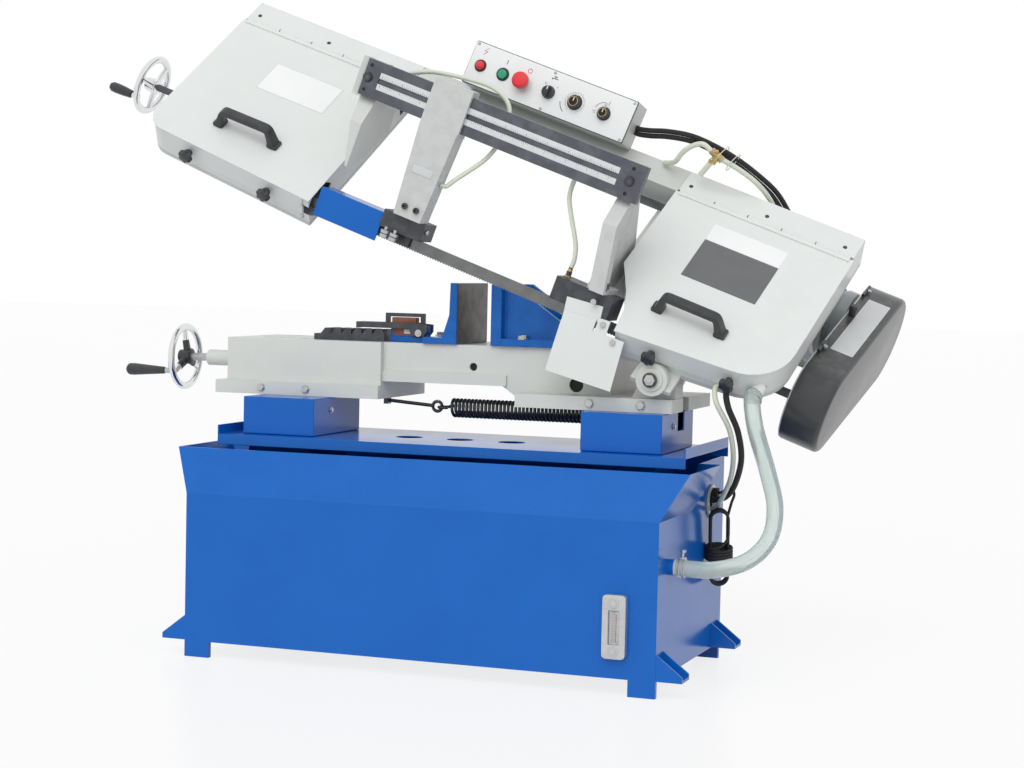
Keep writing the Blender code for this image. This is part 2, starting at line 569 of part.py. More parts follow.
def build_vise(stand):
    y, z = SCREW_Y, SCREW_Z
    teeth = [(-0.360, BED_TOP + GAP), (-0.190, BED_TOP + GAP), (-0.190, 0.6990)]
    pitch = 0.1500 / 6
    for i in range(6):
        right = -0.195 - i * pitch
        teeth += [(right, 0.7130), (right - pitch * 0.55, 0.7130), (right - pitch * 0.98, 0.7000)]
    teeth.append((-0.360, 0.7000))
    piece("vise_rack", IRON, stand, prism(teeth, "Y", y - 0.030, y + 0.030), [
        block(-0.300, -0.270, y - 0.009, y + 0.009, z, BED_TOP + 0.006),
        block(-0.305, -0.265, y - 0.018, y + 0.018, z - 0.018, z + 0.020),
    ], [rod((-0.32, y, z), (-0.25, y, z), SCREW_R + RUNNING)])
    face = MOVING_FACE_X
    low = BED_TOP + GAP
    upright = prism([(face - 0.080, low), (face, low), (face, JAW_TOP), (face - 0.016, JAW_TOP),
                     (face - 0.018, JAW_TOP - 0.070), (face - 0.034, low + 0.014), (face - 0.080, low + 0.014)],
                    "Y", *JAW_Y)
    piece("moving_jaw", BLUE, stand, upright, [
        prism([(face - 0.016, low), (face - 0.075, low), (face - 0.016, JAW_TOP - 0.040)], "Y", 0.395, 0.405),
        block(-0.182, face - 0.070, y - 0.0135, y + 0.0135, low, low + 0.012),
        block(-0.182, -0.094, y - 0.010, y + 0.010, low, 0.7220),
    ], [rod((-0.112, y - 0.05, 0.7070), (-0.112, y + 0.05, 0.7070), 0.0053, 12)])
    pin = (-0.112, y, 0.7070)
    cheek = [(-0.262, 0.7175), (-0.255, 0.7165), (-0.135, 0.7160), (-0.128, 0.6998), (-0.100, 0.6998),
             (-0.092, 0.7100), (-0.092, 0.7260), (-0.130, 0.7290), (-0.262, 0.7290)]
    side = [prism(cheek, "Y", y + s - 0.003, y + s + 0.003) for s in (-0.0175, 0.0175)]
    piece("pawl_lever", IRON, stand, side[0], [
        side[1],
        block(-0.262, -0.120, y - 0.0205, y + 0.0205, 0.7240, 0.7290),
        prism([(-0.262, 0.7290), (-0.262, 0.7150), (-0.250, 0.7180), (-0.244, 0.7290)], "Y", y - 0.0205, y + 0.0205),
        block(-0.197, -0.189, y - 0.006, y + 0.006, 0.7250, 0.7480),
        block(-0.113, -0.105, y - 0.006, y + 0.006, 0.7250, 0.7480),
        block(-0.197, -0.105, y - 0.006, y + 0.006, 0.7420, 0.7500),
        rod((-0.112, y - 0.0215, 0.7070), (-0.112, y + 0.0215, 0.7070), 0.0050, 12),
    ], origin=pin)
    fixed = FIXED_FACE_X
    web = [(fixed + 0.022, low), (fixed + 0.160, low), (fixed + 0.160, low + 0.050), (fixed + 0.040, JAW_TOP),
           (fixed + 0.022, JAW_TOP)]
    piece("fixed_jaw", BLUE, stand, block(fixed, fixed + 0.024, *JAW_Y, low, JAW_TOP), [
        prism(web, "Y", a, a + 0.012) for a in (0.262, 0.328, 0.394)
    ] + [block(fixed + 0.020, fixed + 0.165, JAW_Y[0] - 0.004, JAW_Y[1], low, low + 0.016)],
        [rod((0.144, 0.25, low - 0.01), (0.144, 0.25, low + 0.03), 0.006, 12)], origin=(fixed + 0.012, JAW_Y[1] - 0.005, low))
    wheel_x = VISE_WHEEL_X
    piece("vise_screw", STEEL, stand, rod((wheel_x + 0.008, y, z), (-0.220, y, z), SCREW_R, 16), origin=(0, y, z))
    grip_y, grip_z = y - 0.0594, z - 0.0310
    grip_end = GRIP_FROM + 2 * GAP + GRIP_L
    build_handwheel("vise_handwheel", stand, (wheel_x, y, z), VISE_WHEEL_R, SCREW_R, [
        rod((wheel_x, grip_y, grip_z), (wheel_x - grip_end - 0.003, grip_y, grip_z), SPINDLE_R, 12),
        rod((wheel_x, grip_y, grip_z), (wheel_x - GRIP_FROM, grip_y, grip_z), 0.0065, 12),
        rod((wheel_x - grip_end, grip_y, grip_z), (wheel_x - grip_end - 0.005, grip_y, grip_z), 0.0062, 12)])
    start = wheel_x - GRIP_FROM - GAP
    handle = [(0, 0.0065), (0.008, 0.0095), (0.040, 0.0120), (0.078, 0.0105), (GRIP_L, 0.0065)]
    piece("vise_grip", BLACK, stand,
          turned([(-a, r) for a, r in handle], (start, grip_y, grip_z), (1, 0, 0), 16),
          cut=[rod((wheel_x, grip_y, grip_z), (start - GRIP_L - 0.01, grip_y, grip_z), SPINDLE_R + RUNNING, 12)],
          origin=(start, grip_y, grip_z))


def build_handwheel(name, parent, centre, ring_r, shaft_r, more):
    """A rim, three spokes and a hub on a shaft along X, and the solids that are one piece with it."""
    x, y, z = centre
    spokes = []
    for k in range(3):
        angle = math.radians(95 + 120 * k)
        tip = (x, y + (ring_r - 0.008) * math.cos(angle), z + (ring_r - 0.008) * math.sin(angle))
        spokes.append(rod((x, y, z), tip, 0.0065, 8))
    hub = turned([(-0.014, 0.017), (0.014, 0.017)], centre, (1, 0, 0))
    bores = [rod((x + 0.0077, y, z), (x + 0.03, y, z), shaft_r + RUNNING, 16)] if shaft_r else []
    piece(name, CHROME, parent, torus(centre, (1, 0, 0), ring_r - 0.007, 0.0085), [hub] + spokes + more, bores,
          origin=centre)


# ---------------------------------------------------------------- the leaned frame of the wheel boxes


def lean_point(x, y, z):
    """A point of the wheel boxes' frame (x, into the box, up the door) in the bow's frame."""
    return (x, AXLE_LINE[0] + z * math.sin(LEAN) + y * math.cos(LEAN),
            AXLE_LINE[1] + z * math.cos(LEAN) - y * math.sin(LEAN))


def to_bow(shape):
    return [lean_point(*p) for p in shape[0]], shape[1]


def to_lean(shape):
    """The other way: from the bow's frame to the wheel boxes' frame."""
    points = []
    for x, y, z in shape[0]:
        dy, dz = y - AXLE_LINE[0], z - AXLE_LINE[1]
        points.append((x, dy * math.cos(LEAN) - dz * math.sin(LEAN), dy * math.sin(LEAN) + dz * math.cos(LEAN)))
    return points, shape[1]


def offset(outline, distance):
    """A closed outline moved outwards, its corners mitred."""
    area = sum(a[0] * b[1] - b[0] * a[1] for a, b in zip(outline, outline[1:] + outline[:1]))
    turn = 1 if area > 0 else -1
    moved = []
    for i, here in enumerate(outline):
        before, after = outline[i - 1], outline[(i + 1) % len(outline)]
        first = Vector((here[0] - before[0], here[1] - before[1])).normalized()
        second = Vector((after[0] - here[0], after[1] - here[1])).normalized()
        one = Vector((first.y, -first.x)) * turn
        two = Vector((second.y, -second.x)) * turn
        step = (one + two) * (distance / (1 + one.dot(two)))
        moved.append((here[0] + step.x, here[1] + step.y))
    return moved


def left_outline(top):
    x0, x1 = LEFT_BOX_X
    r = LEFT_CORNER_R
    corner = arc((x0 + r, OUTER_BOTTOM + r), r, 180, 266, 6)
    return [(x0, top)] + corner + [(x1, INNER_BOTTOM), (x1, top)]


def right_outline(top):
    x0, x1 = RIGHT_BOX_X
    r = RIGHT_CORNER_R
    corner = arc((x1 - r, OUTER_BOTTOM - 0.005 + r), r, 360, 274, 8)
    return [(x1, top)] + corner + [(-0.105, INNER_BOTTOM), (-0.113, -0.157), (-0.134, -0.106), (x0, -0.037), (x0, top)]


def build_wheel_boxes(lean):
    front, back = -DOOR_OUT + DOOR_SHEET + GAP, BOX_BACK
    strip = DOOR_TOP + 0.0063
    blade = [block(LEFT_BOX_X[1] - 0.016, LEFT_BOX_X[1] + 0.014, -0.022, 0.022, s * BAND_R - 0.018, s * BAND_R + 0.018)
             for s in (-1, 1)]
    guard = to_lean(block(LEFT_BOX_X[1] - 0.016, LEFT_BOX_X[1] + 0.014, 0.022, 0.092, 0.034, 0.112))
    spout = (0.205, 0.012)
    for name, span, outline, slots, extra in (
        ("left_wheel_box", LEFT_BOX_X, left_outline(BOX_TOP), blade + [guard], []),
        ("right_wheel_box", RIGHT_BOX_X, right_outline(BOX_TOP), [
            block(RIGHT_BOX_X[0] - 0.016, RIGHT_BOX_X[0] + 0.014, -0.022, 0.022, BAND_R - 0.018, BAND_R + 0.018),
            block(-0.125, -0.095, -0.024, 0.024, -BAND_R - 0.019, -BAND_R + 0.019),
            rod((*spout, -0.150), (*spout, -0.192), 0.0120, 16),
        ], [rod((*spout, -0.165), (*spout, -0.1880), 0.0150, 16)]),
    ):
        x0, x1 = span
        piece(name, GREY, lean, prism(outline, "Y", front, back), extra,
              [prism(offset(outline, -BOX_WALL), "Y", front - 0.01, back + 0.01)] + slots,
              [block(x0 + 0.0005, x1 - 0.0005, -DOOR_OUT, front + 0.002, strip, BOX_TOP - 0.0005)])


def lip_shape(outline, span):
    """The folded lip: a strip that follows the bottom edge between two x values."""
    inner = [p for p in offset(outline, GAP) if span[0] - 0.05 <= p[0] <= span[1] + 0.05 and p[1] < -0.15]
    inner.sort()
    def level(x):
        for a, b in zip(inner, inner[1:]):
            if a[0] <= x <= b[0]:
                return a[1] + (b[1] - a[1]) * (x - a[0]) / (b[0] - a[0])
        return inner[-1][1] if x > inner[-1][0] else inner[0][1]
    stops = [span[0]] + [p[0] for p in inner if span[0] + 0.004 < p[0] < span[1] - 0.004] + [span[1]]
    upper = [(x, level(x)) for x in stops]
    lower = [(x, z - DOOR_SHEET) for x, z in reversed(upper)]
    return prism(upper + lower, "Y", -DOOR_OUT + 0.001, 0.012), level


def build_door(lean, name, outline, span, knobs, feet):
    hinge = (sum(p[0] for p in outline) / len(outline), -DOOR_OUT - 0.0018, DOOR_TOP + 0.0031)
    xs = [p[0] for p in outline]
    x0, x1 = min(xs) + 0.006, max(xs) - 0.006
    lip, level = lip_shape(outline, span)
    barrel = rod((x0, hinge[1], hinge[2]), (x1, hinge[1], hinge[2]), 0.0030, 10)
    leaf = block(x0, x1, -DOOR_OUT - 0.0030, -DOOR_OUT + 0.0010, DOOR_TOP - 0.010, DOOR_TOP + 0.0020)
    sheet = [(x, min(z, DOOR_TOP - 0.0004)) for x, z in offset(outline, GAP + DOOR_SHEET)]
    piece(name, COVER, lean, prism(sheet, "Y", -DOOR_OUT, -DOOR_OUT + DOOR_SHEET), [lip, barrel, leaf],
          [rod((x, KNOB_Y, level(x) - 0.01), (x, KNOB_Y, level(x) + 0.01), 0.0036, 12) for x in knobs],
          origin=hinge)
    (fx0, fz), (fx1, _) = feet
    y = -DOOR_OUT - GAP
    rise = 0.044
    path = [(fx0, y, fz), (fx0 + 0.004, y - rise + 0.010, fz), (fx0 + 0.016, y - rise, fz),
            (fx1 - 0.016, y - rise, fz), (fx1 - 0.004, y - rise + 0.010, fz), (fx1, y, fz)]
    rings = []
    for i, (x, yy, z) in enumerate(path):
        before, after = path[max(i - 1, 0)], path[min(i + 1, len(path) - 1)]
        along = Vector((after[0] - before[0], after[1] - before[1])).normalized()
        if i in (0, len(path) - 1):
            along = Vector((0.0, -1.0 if i == 0 else 1.0))
        across = Vector((along.y, -along.x)) * 0.0075
        rings.append([(x - across.x, yy - across.y, z - 0.011), (x + across.x, yy + across.y, z - 0.011),
                      (x + across.x, yy + across.y, z + 0.011), (x - across.x, yy - across.y, z + 0.011)])
    pads = [block(x - 0.013, x + 0.013, y - 0.006, y, fz - 0.014, fz + 0.014) for x in (fx0, fx1)]
    piece(f"{name}_handle", BLACK, lean, loft(rings), pads)
    for number, x in enumerate(knobs):
        top = level(x) - DOOR_SHEET - 0.0009
        lobes = [
            (x + (0.0165 - 0.0028 * (k % 2)) * math.cos(math.pi * k / 6),
             KNOB_Y + (0.0165 - 0.0028 * (k % 2)) * math.sin(math.pi * k / 6)) for k in range(12)
        ]
        piece(f"{name}_knob_{number + 1}", BLACK, lean, prism(lobes, "Z", top - 0.024, top - 0.008),
              [rod((x, KNOB_Y, top), (x, KNOB_Y, top - 0.012), 0.0085, 16),
               rod((x, KNOB_Y, top + 0.003), (x, KNOB_Y, top - 0.012), 0.0033, 12)], origin=(x, KNOB_Y, top))


def wheel_profile(rim_front, rim_back, bore):
    """Half section of a band wheel: hub, web, rim and the flange behind the band."""
    return [(rim_front - 0.004, bore), (rim_front - 0.004, 0.030), (-0.004, 0.034), (-0.004, WHEEL_R - 0.022),
            (rim_front, WHEEL_R - 0.012), (rim_front, WHEEL_R), (rim_back - 0.0028, WHEEL_R),
            (rim_back - 0.0028, WHEEL_R + 0.0028), (rim_back, WHEEL_R + 0.0028), (rim_back, WHEEL_R - 0.012),
            (0.004, WHEEL_R - 0.022), (0.004, 0.034), (rim_back + 0.004, 0.030), (rim_back + 0.004, bore)]


def build_wheels(lean):
    half = WHEEL_W / 2
    rims = (-half, half + 0.0028)
    idle = (IDLER_X, 0, 0)
    piece("idler_wheel", CAST, lean,
          turned(wheel_profile(*rims, AXLE_R + RUNNING), idle, (0, 1, 0), 40, closed=True), origin=idle)
    drive = (DRIVE_X, 0, 0)
    profile = wheel_profile(*rims, 0.012)
    piece("drive_wheel", CAST, lean, turned(profile, drive, (0, 1, 0), 40, closed=True),
          [rod((DRIVE_X, rims[0] - 0.0035, 0), (DRIVE_X, 0.120, 0), 0.0145, ROUND),
           turned([(rims[0] - 0.012, 0.011), (rims[0] - 0.002, 0.011)], drive, (0, 1, 0), 6)], origin=drive)
    y0 = BOX_BACK + 0.0003 + BACK_PLATE + GAP
    piece("idler_carriage", IRON, lean, block(IDLER_X - 0.047, IDLER_X + 0.047, y0, 0.075, -0.045, 0.045), [
        rod((IDLER_X, y0 + 0.01, 0), (IDLER_X, rims[0] - 0.0043, 0), AXLE_R),
        turned([(rims[0] - 0.0130, 0.019), (rims[0] - 0.0043, 0.019)], idle, (0, 1, 0), 16),
        rod((IDLER_X - 0.040, TENSION_Y, 0), (IDLER_X - 0.112, TENSION_Y, 0), 0.0140, 16),
    ], [rod((IDLER_X - 0.030, TENSION_Y, 0), (IDLER_X - 0.130, TENSION_Y, 0), TENSION_R + RUNNING, 16)],
        origin=idle)
    wheel = (TENSION_WHEEL_X, TENSION_Y, 0)
    angle = math.radians(-95)
    gy, gz = TENSION_Y + 0.054 * math.cos(angle), 0.054 * math.sin(angle)
    x = TENSION_WHEEL_X
    build_handwheel("tension_handwheel", lean, wheel, 0.069, 0.0,
                    [turned([(0.000, 0.0075), (-0.018, 0.0095), (-0.050, 0.0120), (-0.078, 0.0085)],
                            (x, gy, gz), (1, 0, 0), 16),
                     rod((x, TENSION_Y, 0), (IDLER_X - 0.040, TENSION_Y, 0), TENSION_R, 16),
                     rod((LEFT_BOX_X[0] - 0.014, TENSION_Y, 0), (LEFT_BOX_X[0] - 0.0003, TENSION_Y, 0), 0.013, 16)])


def band_ring(centre, width_way, thick_way):
    """The four corners of the band's section at one place, in the wheel boxes' frame."""
    centre = Vector(centre)
    wide = Vector(width_way).normalized() * (BAND_W / 2)
    thick = Vector(thick_way).normalized() * (BAND_T / 2)
    return [tuple(centre - wide - thick), tuple(centre + wide - thick),
            tuple(centre + wide + thick), tuple(centre - wide + thick)]


def build_blade(lean):
    """The band: round both wheels, straight above, and twisted upright between the two guides below."""
    r = BAND_R
    rings = []
    for k in range(BAND_STEPS + 1):
        angle = math.radians(90 - 180 * k / BAND_STEPS)
        out = (math.cos(angle), 0, math.sin(angle))
        rings.append(band_ring((DRIVE_X + r * out[0], 0, r * out[2]), (0, 1, 0), out))
    twist = math.pi / 2 - LEAN
    left, right = GUIDE_X
    stops = []
    for k in range(1, 9):
        share = k / 8
        ease = share * share * (3 - 2 * share)
        stops.append((DRIVE_X - 0.03 + (right + 0.03 - DRIVE_X + 0.03) * share, ease))
    stops += [(left - 0.03, 1.0)]
    for k in range(1, 9):
        share = k / 8
        ease = 1 - share * share * (3 - 2 * share)
        stops.append((left - 0.03 + (IDLER_X + 0.03 - left + 0.03) * share, ease))
    for x, ease in stops:
        angle = twist * ease
        wide = (0, math.cos(angle), -math.sin(angle))
        thick = (0, -math.sin(angle), -math.cos(angle))
        rings.append(band_ring((x, 0, -r), wide, thick))
    for k in range(BAND_STEPS + 1):
        angle = math.radians(270 - 180 * k / BAND_STEPS)
        out = (math.cos(angle), 0, math.sin(angle))
        rings.append(band_ring((IDLER_X + r * out[0], 0, r * out[2]), (0, 1, 0), out))
    count = len(rings)
    points = [p for ring in rings for p in ring]
    faces = []
    for row in range(count):
        after = (row + 1) % count
        for i in range(4):
            j = (i + 1) % 4
            faces.append((row * 4 + i, row * 4 + j, after * 4 + j, after * 4 + i))
    piece("blade", STEEL, lean, (points, faces))


# ---------------------------------------------------------------- bow


def lean_outline(pairs):
    """(y, z) pairs of the wheel boxes' frame as (y, z) pairs of the bow's frame."""
    return [lean_point(0, y, z)[1:] for y, z in pairs]


def build_bow_frame(bow):
    back = (BOX_BACK + 0.0003, BOX_BACK + 0.0003 + BACK_PLATE)
    in0, in1 = LEFT_BOX_X[1] + 0.0003, RIGHT_BOX_X[0] - 0.0003
    beam = to_bow(block(in0, in1, -0.037, back[1] + 0.002, DOOR_TOP + 0.0003, BOX_TOP))
    front_lug, rear_lug = LUG_W
    top = BOX_TOP - 0.001
    ear = POST_X[0] - 0.004
    right = right_outline(top)[::-1]
    tongue = [(-0.045, -0.2121), (-0.045, -0.2580), (0.045, -0.2580), (0.045, -0.2048)]
    plate = left_outline(top)[:-1] + [(LEFT_BOX_X[1], DOOR_TOP + 0.010), (ear, DOOR_TOP + 0.010), (ear, -0.064),
                                      (-0.158, -0.064)] + right[2:5] + tongue + right[5:]
    pin = LEVER_PIN
    arm = [(-0.040, 0.098)] + arc((0, 0), BOSS_R, 180, 360, 10) + [(0.040, 0.098)]
    bracket = [(0.0243, 0.403), (0.05, 0.403), (0.335, 0.372), (0.335, 0.345), (0.300, 0.325), (0.21, 0.25),
               (0.148, 0.218), (-0.008, 0.218), (-0.008, 0.266), (0.0243, 0.3222)]
    knee = [(0.0248, 0.4025), (0.0495, 0.4025), (0.095, 0.345), (0.140, 0.310), (0.148, 0.258), (0.0670, 0.1925),
            (0.0122, 0.1690), (-0.0075, 0.1690), (-0.0075, 0.2655), (0.0248, 0.3216)]
    solids = [
        to_bow(prism(plate, "Y", *back)),
        turned([(front_lug[0], BOSS_R), (0.0460, BOSS_R), (0.0460, 0.0220), (front_lug[1], 0.0220)],
               (0, 0, 0), (0, 1, 0)),
        prism(arm, "Y", *rear_lug),
        prism([(pin[0] - 0.009, pin[1] - 0.008), (pin[0] + 0.009, pin[1] - 0.008), (0.030, -0.010), (-0.020, -0.010)],
              "Y", *rear_lug),
        rod((pin[0], rear_lug[1] - 0.005, pin[1]), (pin[0], rear_lug[1] + 0.012, pin[1]), 0.0040, 12),
        prism(bracket, "X", in0 + 0.0032, in0 + 0.0150),
        prism(knee, "X", in0 + 0.0036, BRACKET_RIGHT),
        to_bow(block(IDLER_X - 0.112, IDLER_X + 0.098, back[1] - 0.005, 0.070, 0.0453, 0.060)),
        to_bow(block(IDLER_X - 0.112, IDLER_X + 0.098, back[1] - 0.005, 0.070, -0.060, -0.0453)),
        to_bow(block(LEFT_BOX_X[0] + 0.001, LEFT_BOX_X[0] + 0.022, back[0] + 0.002, TENSION_Y + 0.022, -0.030, 0.030)),
        to_bow(block(0.010, 0.200, back[0] + 0.002, 0.330, 0.2153, 0.2273)),
        to_bow(prism([(0.036, 0.2170), (0.300, 0.2170), (0.036, 0.1050)], "X", 0.014, 0.024)),
        to_bow(prism([(0.036, 0.2170), (0.300, 0.2170), (0.036, 0.1050)], "X", 0.186, 0.196)),
    ]
    cuts = [
        prism([(-0.900, 0.3170), (-0.8285, 0.3170), (-0.7977, 0.1808), (BRACKET_RIGHT, 0.1500), (-0.900, 0.1500)], "Y",
              -0.020, 0.180),
        rod((0, 0.0, 0), (0, 0.18, 0), PIVOT_R + RUNNING),
        to_bow(block(IDLER_X - 0.029, IDLER_X + 0.029, back[0] - 0.01, back[1] + 0.01, -0.0135, 0.0135)),
        to_bow(rod((DRIVE_X, 0.02, 0), (DRIVE_X, 0.06, 0), 0.0170)),
        to_bow(rod((LEFT_BOX_X[0] - 0.01, TENSION_Y, 0), (LEFT_BOX_X[0] + 0.03, TENSION_Y, 0), TENSION_R + RUNNING, 16)),
    ]
    piece("bow_frame", GREY, bow, beam, solids, cuts)


def build_guides(bow):
    x0, x1 = BAR_X
    middle = (BAR_Z[0] + BAR_Z[1]) / 2
    piece("guide_bar", STEEL, bow, block(x0, x1, *BAR_Y, *BAR_Z), [
        turned([(0.001, 0.0085), (-0.0050, 0.0085)], (x, BAR_Y[0], middle), (0, 1, 0), 6)
        for x in (x0 + 0.011, x1 - 0.029)
    ], [block(x0 + 0.036, x1 - 0.055, BAR_Y[0] - 0.01, BAR_Y[0] + 0.0030, middle - 0.0045, middle + 0.0045)])
    p0, p1 = POST_X
    rear = lean_outline([(BOX_BACK, 0.040), (BOX_BACK, -0.056)])
    foot = SEAT_TOP + GAP
    web = [(0.0255, 0.4022), (0.05, 0.4022), rear[0], rear[1], (0.10, foot + 0.001), (0.0255, foot + 0.001)]
    lower = loft([
        [(p0, -0.010, 0.266), (p1, -0.010, 0.266), (p1, 0.022, 0.266), (p0, 0.022, 0.266)],
        [(-0.188, -0.002, foot), (-0.155, -0.002, foot), (-0.155, 0.026, foot), (-0.188, 0.026, foot)],
    ])
    upper = prism([(-0.010, 0.2655), (0.0243, 0.3222), (0.0243, 0.403), (0.046, 0.403), (0.046, 0.2655)], "X", p0, p1)
    piece("right_guide_post", GREY, bow, prism(web, "X", -0.200, -0.188), [
        lower, upper, block(-0.200, -0.155, 0.020, 0.100, foot, foot + 0.012)])
    cheeks = []
    for a, b in ((BLADE_Y - 0.0085, BLADE_Y - BAND_T / 2 - GAP), (BLADE_Y + BAND_T / 2 + GAP, BLADE_Y + 0.0085)):
        cheeks.append((a, b))
    low = BLADE_Z + BAND_W / 2 + 0.0008
    piece("right_guide_seat", GREY, bow, block(-0.268, -0.135, 0.0165, 0.095, low, SEAT_TOP), [
        block(-0.226, -0.176, a, b, BLADE_Z - 0.010, low + 0.004) for a, b in cheeks
    ] + [turned([(-0.001, 0.006), (0.014, 0.006), (0.014, 0.0045), (0.022, 0.0045)], (-0.256, 0.050, SEAT_TOP),
                (0, 0, 1), 12)])
    a0, a1 = ARM_X
    y0, y1 = BAR_Y[0] - GAP, BAR_Y[1] + GAP
    z0, z1 = BAR_Z[0] - GAP, BAR_Z[1] + GAP
    seat_top = LEFT_SEAT_TOP + GAP
    shank = loft([
        [(a0 + 0.001, -0.006, z0 - 0.002), (a1 - 0.001, -0.006, z0 - 0.002), (a1 - 0.001, 0.038, z0 - 0.002),
         (a0 + 0.001, 0.038, z0 - 0.002)],
        [(-0.655, 0.000, seat_top), (-0.590, 0.000, seat_top), (-0.590, 0.045, seat_top), (-0.655, 0.045, seat_top)],
    ])
    piece("guide_arm", GREY, bow, block(a0, a1, y0 - 0.009, y1 + 0.013, z0 - 0.009, z1 + 0.013), [
        shank, turned([(0, 0.010), (0.018, 0.010), (0.020, 0.006), (0.034, 0.006)],
                      ((a0 + a1) / 2, y1 + 0.012, (z0 + z1) / 2), (0, 1, 0), 12)],
        [block(a0 - 0.01, a1 + 0.01, y0, y1, z0, z1)])
    piece("left_guide_seat", GREY, bow, block(-0.685, -0.585, 0.020, 0.090, low, LEFT_SEAT_TOP), [
        block(-0.665, -0.615, a, b, BLADE_Z - 0.010, low + 0.004) for a, b in cheeks])
    g0, g1 = -0.843, -0.685 - GAP
    piece("blade_guard", BLUE, bow, block(g0, g1, 0.028, 0.030, 0.040, 0.105), [
        block(g0, g1, 0.028, 0.085, 0.103, 0.105), block(g0, g1, 0.083, 0.085, 0.075, 0.105)])


def build_shield(bow):
    y0, y1 = 0.0085, 0.0105
    face = [(-0.224, 0.045), (-0.218, -0.067), (-0.070, -0.055), (-0.080, 0.0520)]
    flap = [(-0.226, 0.060), (-0.145, 0.068), (-0.150, 0.102), (-0.231, 0.093)]
    piece("chip_shield", COVER, bow, prism(face, "Y", y0, y1), [
        prism(flap, "Y", 0.0137, 0.0162),
        prism([(-0.223, 0.040), (-0.152, 0.044), (-0.152, 0.0720), (-0.225, 0.0660)], "Y", y0 + 0.0004, 0.0150),
        prism([(-0.148, 0.040), (-0.122, 0.042), (-0.122, 0.0800), (-0.148, 0.0780)], "Y", y0 + 0.0002, y1 + 0.0004),
    ] + [turned([(0.001, 0.0065), (-0.005, 0.0065)], (x, y0, z), (0, 1, 0), 6)
         for x, z in ((-0.135, 0.068), (-0.102, 0.042))])


def build_control_box(panel):
    x0, x1 = PANEL_X
    height = PANEL_H * 0.475
    lamp, start, stop, switch, dial, valve = (-0.698, -0.641, -0.590, -0.525, -0.459, -0.387)
    collar = [turned([(0.001, r), (-0.0030, r)], (x, 0, height), (0, 1, 0), 16)
              for x, r in ((start, 0.0150), (stop, 0.0150), (switch, 0.0150), (lamp, 0.0140))]
    lens = turned([(0.000, 0.0100), (-0.0080, 0.0100), (-0.0120, 0.0060)], (lamp, 0, height), (0, 1, 0), 16)
    bores = [rod((x, -0.01, height), (x, 0.022, height), r + RUNNING, 16)
             for x, r in ((start, 0.0105), (stop, 0.0105), (switch, 0.0060), (dial, 0.0045), (valve, 0.0045))]
    piece("control_box", BLACK, panel, block(x0, x1, 0, PANEL_DEPTH, 0, PANEL_H), collar + [lens], bores)
    piece("start_button", GREEN, panel,
          turned([(-0.0085, 0.0105), (0.012, 0.0105)], (start, 0, height), (0, 1, 0), 16), origin=(start, 0, height))
    piece("stop_button", RED, panel,
          turned([(-0.0300, 0.0120), (-0.0270, 0.0190), (-0.0170, 0.0190), (-0.0150, 0.0105), (0.012, 0.0105)],
                 (stop, 0, height), (0, 1, 0), 16), origin=(stop, 0, height))
    piece("coolant_switch", BLACK, panel,
          turned([(-0.0120, 0.0130), (-0.0034, 0.0140), (-0.0034, 0.0060), (0.015, 0.0060)], (switch, 0, height),
                 (0, 1, 0), 16),
          [block(switch - 0.0040, switch + 0.0040, -0.0200, -0.0100, height - 0.0115, height + 0.0115)],
          origin=(switch, 0, height))
    piece("feed_dial", BLACK, panel,
          turned([(-0.0180, 0.0150), (-GAP, 0.0180), (-GAP, 0.0045), (0.015, 0.0045)], (dial, 0, height),
                 (0, 1, 0), 16), origin=(dial, 0, height))
    piece("feed_valve", IRON, panel,
          turned([(-0.0160, 0.0100), (-GAP, 0.0120), (-GAP, 0.0045), (0.015, 0.0045)], (valve, 0, height),
                 (0, 1, 0), 12),
          [block(valve - 0.0030, valve + 0.0030, -0.0150, -0.0090, height - 0.0010, height + 0.0240)],
          origin=(valve, 0, height))


# ---------------------------------------------------------------- drive


